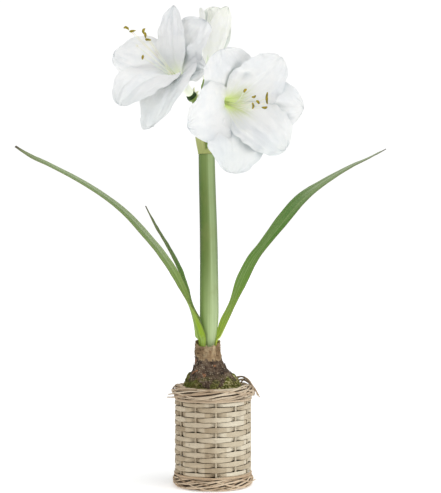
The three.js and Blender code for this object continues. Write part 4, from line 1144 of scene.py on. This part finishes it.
def make_weaver(material, draw):
    """One strand wound in a rising spiral, in front of one stake and behind the next."""
    turns = WEAVE_TURNS * STAKES
    k = np.linspace(0, turns, turns * WEAVE_STEPS + 1)    # counts stakes passed
    passing = np.floor(k + 0.5).astype(int)               # the stake that this stretch passes
    sizes, lifts, tilts, tones = np.array([[draw.uniform(-1, 1) for _ in range(turns + 1)] for _ in range(4)])
    near = 1 - (2 * (k - passing)) ** 2
    share = strand_share(k)
    centre, tall = strand_course(k, share, near * sizes[passing], near * lifts[passing])
    # the strand's face is square to its own way round, so it turns as it swings out and in
    along = unit(np.gradient(centre, axis=0))
    face = across_to(centre * [1, 1, 0], along)
    up = np.cross(along, face)
    up = np.where(up[:, 2:] < 0, -up, up)
    roll = (0.1 * near * tilts[passing])[:, None]
    face, up = face * np.cos(roll) + up * np.sin(roll), up * np.cos(roll) - face * np.sin(roll)
    tall_at, deep_at = STRAND_SECTION.T
    fluting = 0.10 * wander(stacked(k[:, None] * 0.9, tall_at * 14, 0.2), 121)
    deep = deep_at * WEAVE_THICKNESS * (0.6 + 0.4 * share[:, None]) + fluting * (deep_at > 0)
    rings = centre[:, None] + up[:, None] * (tall[:, None] * tall_at)[..., None]
    rings = rings + face[:, None] * deep[..., None]
    tone = np.clip(0.55 + 0.42 * tones[passing] + 0.15 * wander1(k * 1.7, 122), 0, 1)
    marks = stacked((k * TAU * WALL_RADIUS / STAKES)[:, None], tall_at, tone[:, None])
    shape = Shape()
    add_tube(shape, rings[:, ::-1], marks[:, ::-1])
    shape.piece("basket_weaver", "willow", material)


def strand_course(k, share, fuller, higher):
    """The strand's middle line and its height, after it has passed k stakes."""
    # it lies along the outside, and dips in to pass behind every other stake
    from_behind = np.abs(k % 2 - 1)                       # 0 at a stake in front of it, 1 at the next one
    radius = WALL_RADIUS + WEAVE_SWING * (2 * rise(0, 0.42, from_behind) - 1) + 0.25 * fuller
    tall = WEAVE_LOW + (WEAVE_TALL - WEAVE_LOW) * rise(0.5, 1, from_behind) * (1 + 0.5 * fuller)
    tall = (tall + 0.25 * wander1(k * 2.3, 120)) * share
    step = WEAVE_PITCH / STAKES / WEAVE_STEPS
    climb = np.concatenate([[0], np.cumsum((share[1:] + share[:-1]) / 2 * step)])
    z = FOOT_TOP + GAP + WEAVE_TALL * WEAVE_END_SHARE / 2 + climb + 0.35 * higher * share
    return turned(radius, math.radians(FIRST_STAKE) + TAU * k / STAKES, z), tall


def border_rod(shape, ring, rod):
    """One rod of a border: it winds round the ring's middle line, and its tail may stand out.

    ring is the border's radius, middle height, half width, half height, and how loosely the rod lies. rod is
    its turns, phase, start, sweep (in degrees round the basket), thickness, tone, seed, and how far its tail
    stands out.
    """
    radius, middle, half_wide, half_high, loose = ring
    turns, phase, start, sweep, thick, tone, seed, tail = rod
    u = np.linspace(0, 1, max(int(sweep * ROD_STEPS), ROD_LEAST_STEPS))
    angle = np.radians(start + sweep * u)
    twist = turns * angle + phase + 0.16 * wander1(u * sweep * 0.03, seed + 3)
    strays = [loose * wander1(u * sweep * 0.035, seed + n) for n in range(2)]
    out = tail * rise(0.9, 1.0, u) ** 1.5
    r = radius + (half_wide - thick) * np.cos(twist) + strays[0] + out
    z = middle + (half_high - thick) * np.sin(twist) + strays[1] + 0.15 * out
    radii = thick * (1 - 0.3 * np.abs(2 * u - 1) ** 3) * (1 + 0.06 * wander1(u * sweep * 0.09, seed + 2))
    add_rod(shape, turned(r, angle, z), radii, ROD_SIDES, tone, wobble=0.12, seed=seed, start=Z)


def wind_rods(shape, draw, place, layer):
    """A layer of rods that wind round a border's middle line, each of several lengths end to end."""
    *form, rods, turns, thick, sweeps, tones, tails = layer
    for n in range(rods):
        phase = TAU * (n + draw.uniform(-0.2, 0.2)) / rods
        start = draw.uniform(0, 360)
        left = 360.0
        while left > 1:
            sweep = min(left, draw.uniform(*sweeps))
            sweep = left if left - sweep < 40 else sweep
            tail = draw.uniform(0.5, 3.5) if draw.random() < tails else 0.0
            rod = (turns, phase, start, sweep + 4, draw.uniform(*thick), draw.uniform(*tones),
                   draw.randrange(900), tail)
            border_rod(shape, (*place, *form), rod)
            start += sweep
            left -= sweep


def hug_the_wall(shape, draw, height):
    """Two thin rods that lie along the wall where it meets a border, and close the gap there."""
    u = np.linspace(0, 1, HUG_STEPS)
    for n in range(2):
        angle = TAU * u + draw.uniform(0, TAU)
        radius = WALL_RADIUS + WEAVE_SWING + 0.6 + 0.7 * wander1(u * 9, 400 + n)
        z = height + 1.1 * (n - 0.5) + 0.7 * wander1(u * 7, 410 + n)
        radii = 1.1 + 0.15 * wander1(u * 12, 420 + n)
        tone = draw.uniform(0.3, 0.7)
        add_rod(shape, turned(radius, angle, z), radii, ROD_SIDES, tone, wobble=0.1, seed=430 + n, start=Z)


# The layers of rods in each border: half width, half height and looseness of the ring that they wind round,
# then the rods, their turns once round, thickness, sweep in degrees and tone (each from and to), and the
# share of them that has a tail standing out.
RIM_LAYERS = [
    # the first layer is a near-black core: painted shade that shows between the rods over it
    (4.4, 5.6, 0.3, 4, 1, (2.0, 2.3), (120, 190), (0.0, 0.05), 0),
    (7.1, 8.0, 0.9, 9, 1, (1.15, 1.5), (70, 150), (0.3, 1.0), 0.3),
    (7.7, 8.4, 0.9, 4, 2, (1.05, 1.4), (60, 130), (0.4, 1.0), 0.4),
    (7.4, 8.2, 0.8, 2, -1, (1.0, 1.3), (60, 110), (0.3, 0.9), 0),
]
FOOT_LAYERS = [
    # the first layer is a near-black core: painted shade that shows between the rods over it
    (4.0, 6.0, 0.2, 4, 1, (1.8, 2.2), (90, 150), (0.0, 0.05), 0),
    (6.0, 8.0, 0.7, 8, 2, (0.9, 1.2), (60, 120), (0.2, 1.0), 0),
    (6.6, 8.2, 0.8, 6, -2, (0.85, 1.15), (50, 110), (0.2, 1.0), 0),
    (6.9, 8.2, 0.8, 5, 1, (0.9, 1.25), (50, 110), (0.3, 1.0), 0.2),
]


def make_rim(material, draw):
    """Rods of the rim: thick near-black ones inside as painted shade between rods, and thinner ones twisted
    over them that cross here and there.
    """
    shape = Shape()
    for layer in RIM_LAYERS:
        wind_rods(shape, draw, (WALL_RADIUS + 0.3, (RIM_BOTTOM + RIM_TOP) / 2), layer)
    hug_the_wall(shape, draw, RIM_BOTTOM - 0.6)
    add_stray_rods(shape)
    shape.piece("basket_rim_border", "willow_rod", material)


# Loose ends, by stations of x, y, z: a loop of thin rods that springs up behind on the right, and short tips
# at both sides.
STRAY_RODS = [
    [(20, 44, 136), (32, 40, 144), (43, 31, 148), (53, 18, 141), (58, 4, 131), (57, -10, 126)],
    [(26, 42, 136), (38, 34, 143), (48, 22, 142), (55, 6, 135), (54, -10, 130)],
    [(30, 42, 134), (42, 30, 139), (51, 16, 137), (54, 2, 133), (50, -14, 129)],
    [(36, 36, 134), (45, 26, 146), (52, 14, 143), (57, 0, 134), (58, -6, 128)],
    [(20, 45, 137), (36, 40, 147), (48, 26, 145), (57, 8, 136), (62, -2, 129), (65, -6, 123)],
    [(24, 43, 137), (42, 34, 144), (53, 18, 139), (60, 2, 131), (62, -8, 126)],
    [(-40, -36, 129), (-54, -26, 126), (-64, -12, 124)],
    [(-44, -30, 131), (-54, -22, 130), (-62, -12, 128)],
    [(-40, -32, 136), (-50, -26, 136), (-58, -20, 135)],
    [(-36, -34, 137), (-46, -22, 141), (-51, -10, 140)],
    [(-38, -20, 138), (-48, -12, 142), (-53, 4, 139)],
    [(44, -30, 136), (53, -20, 134), (57, -8, 131)],
    [(34, -30, 138), (46, -18, 141), (52, -4, 137)],
]


def add_stray_rods(shape):
    ts = np.linspace(0, 1, 40)
    for n, stations in enumerate(STRAY_RODS):
        path, tone = spline(stations, ts), 0.2 + 0.06 * n
        add_rod(shape, path, 1.2 - 0.5 * ts, ROD_SIDES, tone, wobble=0.1, seed=300 + n, start=Z)


def make_foot(material, draw):
    """Thin rods that cross each other, some rising to the right and some to the left."""
    shape = Shape()
    for layer in FOOT_LAYERS:
        wind_rods(shape, draw, (WALL_RADIUS - 0.2, (FOOT_TOP + 0.4) / 2), layer)
    hug_the_wall(shape, draw, FOOT_TOP + 0.9)
    shape.piece("basket_foot_border", "willow_rod", material)


def make_base(material):
    """The floor: a disc of sticks woven round, whose crests touch the ground."""
    a = circle(12 * STAKES)
    radii = np.linspace(NEAR_AXIS, FLOOR_RADIUS - 0.2, 40)
    rings, marks = [], []
    for side, z in ((1, FLOOR_THICKNESS), (-1, 0.0)):
        for r in radii[::side]:
            weave = np.cos(r * TAU / 4.6 + math.pi * np.floor(a * STAKES / TAU)) * 0.5 + 0.5
            rings.append(turned(r, a, z - side * 0.5 * (1 - weave)))
            # painted shade: the tone is lower in the weave's hollows than on its crests
            marks.append(stacked(a * r, r * 0.2, 0.4 + 0.3 * weave))
    shape = Shape()
    add_tube(shape, np.stack(rings)[::-1], np.stack(marks)[::-1])
    shape.piece("basket_base", "willow", material)


def make_liner(material):
    """A thin waterproof bag inside the wall. The soil presses it out at half its height."""
    low = FLOOR_THICKNESS + GAP
    bottom = low + LINER_WALL
    t = np.linspace(0, 1, 30)
    radii = LINER_RADIUS - 3 + 3 * t + LINER_BULGE * np.sin(math.pi * t) ** 2
    outer = list(zip(radii, low + (LINER_TOP - low) * t))
    inner = [(r - LINER_WALL, max(z, bottom)) for r, z in outer[::-1]]
    rings = turned_rings([(NEAR_AXIS, low), *outer, *inner, (NEAR_AXIS, bottom)], 96)
    folds = 0.35 * wander(rings * [0.1, 0.1, 0.03], 130)
    rings[..., :2] *= (1 - np.abs(folds) * 0.01)[..., None]
    shape = Shape()
    add_tube(shape, rings, (0, 0, 0))
    shape.piece("liner", "liner", material)


# ------------------------------------------------------------------ floor, light and camera


FLOOR_SIZE, FLOOR_GLOW = 60, 0.36        # its side in metres, and how brightly it is lit
BACKDROP_STRENGTH, AMBIENT_STRENGTH = 1.05, 0.46
EYE, LENS, SENSOR = (0.0105, -1.7, 0.3335), 88.65, 36.0


def make_stage(material):
    bpy.ops.mesh.primitive_plane_add(size=FLOOR_SIZE, location=(0, 0, 0))
    floor = bpy.context.object
    floor.name = "floor"
    floor.data.materials.append(material)


def add_sun(name, strength, azimuth, elevation, colour):
    """A soft sun. azimuth is degrees round from the front, towards the right; elevation is above level."""
    light = bpy.data.lights.new(name, "SUN")
    light.energy, light.color, light.angle = strength, colour, math.radians(60)
    lamp = bpy.data.objects.new(name, light)
    bpy.context.scene.collection.objects.link(lamp)
    a, e = math.radians(azimuth), math.radians(elevation)
    towards = Vector((math.sin(a) * math.cos(e), -math.cos(a) * math.cos(e), math.sin(e)))
    lamp.rotation_mode = "QUATERNION"
    lamp.rotation_quaternion = towards.to_track_quat("Z", "Y")


def light_scene():
    """A white room that the camera sees brighter than it lights the object, and two soft suns."""
    scene = bpy.context.scene
    scene.view_settings.view_transform = "Standard"
    scene.world = bpy.data.worlds.new("studio")
    scene.world.use_nodes = True
    tree = scene.world.node_tree
    backdrop, ambient = tree.nodes["Background"], tree.nodes.new("ShaderNodeBackground")
    backdrop.inputs["Color"].default_value = (1, 1, 1, 1)
    backdrop.inputs["Strength"].default_value = BACKDROP_STRENGTH
    ambient.inputs["Color"].default_value = (0.96, 0.98, 1.0, 1)
    ambient.inputs["Strength"].default_value = AMBIENT_STRENGTH
    path = tree.nodes.new("ShaderNodeLightPath")
    either = tree.nodes.new("ShaderNodeMixShader")
    tree.links.new(path.outputs["Is Camera Ray"], either.inputs[0])
    tree.links.new(ambient.outputs[0], either.inputs[1])
    tree.links.new(backdrop.outputs[0], either.inputs[2])
    tree.links.new(either.outputs[0], tree.nodes["World Output"].inputs["Surface"])
    add_sun("key", 1.35, 50, 56, (1.0, 0.985, 0.96))
    add_sun("fill", 0.3, -45, 25, (0.97, 0.985, 1.0))


def make_camera():
    camera = bpy.data.cameras.new("camera")
    camera.lens, camera.sensor_width = LENS, SENSOR
    camera.clip_start, camera.clip_end = 0.1, 100
    eye = bpy.data.objects.new("camera", camera)
    eye.location = EYE
    eye.rotation_euler = (math.radians(90), 0, 0)
    bpy.context.scene.collection.objects.link(eye)
    bpy.context.scene.camera = eye


# ------------------------------------------------------------------ the object

DEEP_THROAT = [(0.0, "a6b866"), (0.3, "d4dda8"), (0.6, "eef1da"), (0.8, "f5f6ea"), (1.0, "f9f9f3")]
PALE_THROAT = [(0.0, "ced6aa"), (0.3, "e3e8d0"), (0.6, "eff1e4"), (0.8, "f4f5ee"), (1.0, "f6f6f3")]
petal_right = paint_petal("petal_right", "fcfcfa", "f1f3f4", DEEP_THROAT, 47.0, 14.0, (0.45, 0.5))
# a greyer copy of the petal skin: painted shade on the left bloom, which gets less light
petal_left = paint_petal("petal_left", "f6f6f5", "ebedee", PALE_THROAT, 50.0, 0.0, (0.51, 0.555))
bud = paint_petal("petal_bud", "fdfdf6", "f5f6ea", PALE_THROAT, 46.0, glow=0.08)
filament, anther = paint_stamen("filament"), paint_anther("anther")
# for each leaf: its colours from foot to tip, which half is pale, and how pale it is along it; the pale half
# is partly waxy bloom and partly painted sheen
LEAF_LOOKS = {
    "leaf_left": (
        [(0.1, "84a014"), (0.3, "8ba82c"), (0.45, "85a144"), (0.6, "8fa862"), (0.85, "96a97a"),
         (1.0, "6e6a54")],
        1, [(0.3, 0.1), (0.5, 0.35), (0.65, 0.75), (0.8, 0.8), (1.0, 0.2)]),
    "leaf_left_small": (
        [(0.2, "8aa63a"), (0.4, "8aa556"), (0.6, "6a9044"), (0.75, "6e8054"), (1.0, "77745c")],
        1, [(0.3, 0.3), (0.5, 0.15), (0.8, 0.2), (1.0, 0.2)]),
    "leaf_right": (
        # the foot's bright yellow green is partly its own colour and partly painted light, where the leaf
        # turns from the light
        [(0.12, "cfe646"), (0.26, "a2be38"), (0.38, "6f9a36"), (0.64, "547e36"), (0.8, "8ca076"),
         (1.0, "8c897c")],
        -1, [(0.15, 0.25), (0.4, 0.3), (0.7, 0.15), (0.84, 0.9), (1.0, 1.0)]),
}
strand = paint_willow("willow_strand", "eee4cd", "d8caaf", "ab987b", "7d6a54", 0.4)
# the darkest tone of the rim and the foot is near black: painted shade, carried by their core rods
rim_rods = paint_willow("willow_rim", "f6e7ce", "cfb698", "44352a", "6b5644", 0.3)
foot_rods = paint_willow("willow_foot", "f2dec2", "cbb090", "3c2f26", "6b5644", 0.2)

make_bloom("bloom_right", petal_right)
make_bloom("bloom_left", petal_left)
make_bloom("bloom_top", bud)
make_stamens("stamens_right", "bloom_right", filament, anther)
make_stamens("stamens_left", "bloom_left", filament, anther)
make_scape(paint_stem("stem"))
make_spathe(paint_spathe("spathe"))
for seed, leaf_name in enumerate(LEAVES):
    make_leaf(leaf_name, paint_leaf(leaf_name, *LEAF_LOOKS[leaf_name]), 40 + seed)
make_bulb(paint_bulb("bulb"))
make_moss(paint_moss("moss"))
willow_draw = random.Random(WILLOW_SEED)
for number in range(STAKES):
    make_stake(number, strand, willow_draw)
make_weaver(strand, willow_draw)
make_rim(rim_rods, willow_draw)
make_foot(foot_rods, willow_draw)
make_base(strand)
make_liner(paint_liner("liner"))
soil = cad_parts["soil"]
soil.data.materials.clear()
soil.data.materials.append(paint_soil("soil"))

make_stage(paint_floor("floor"))
light_scene()
make_camera()
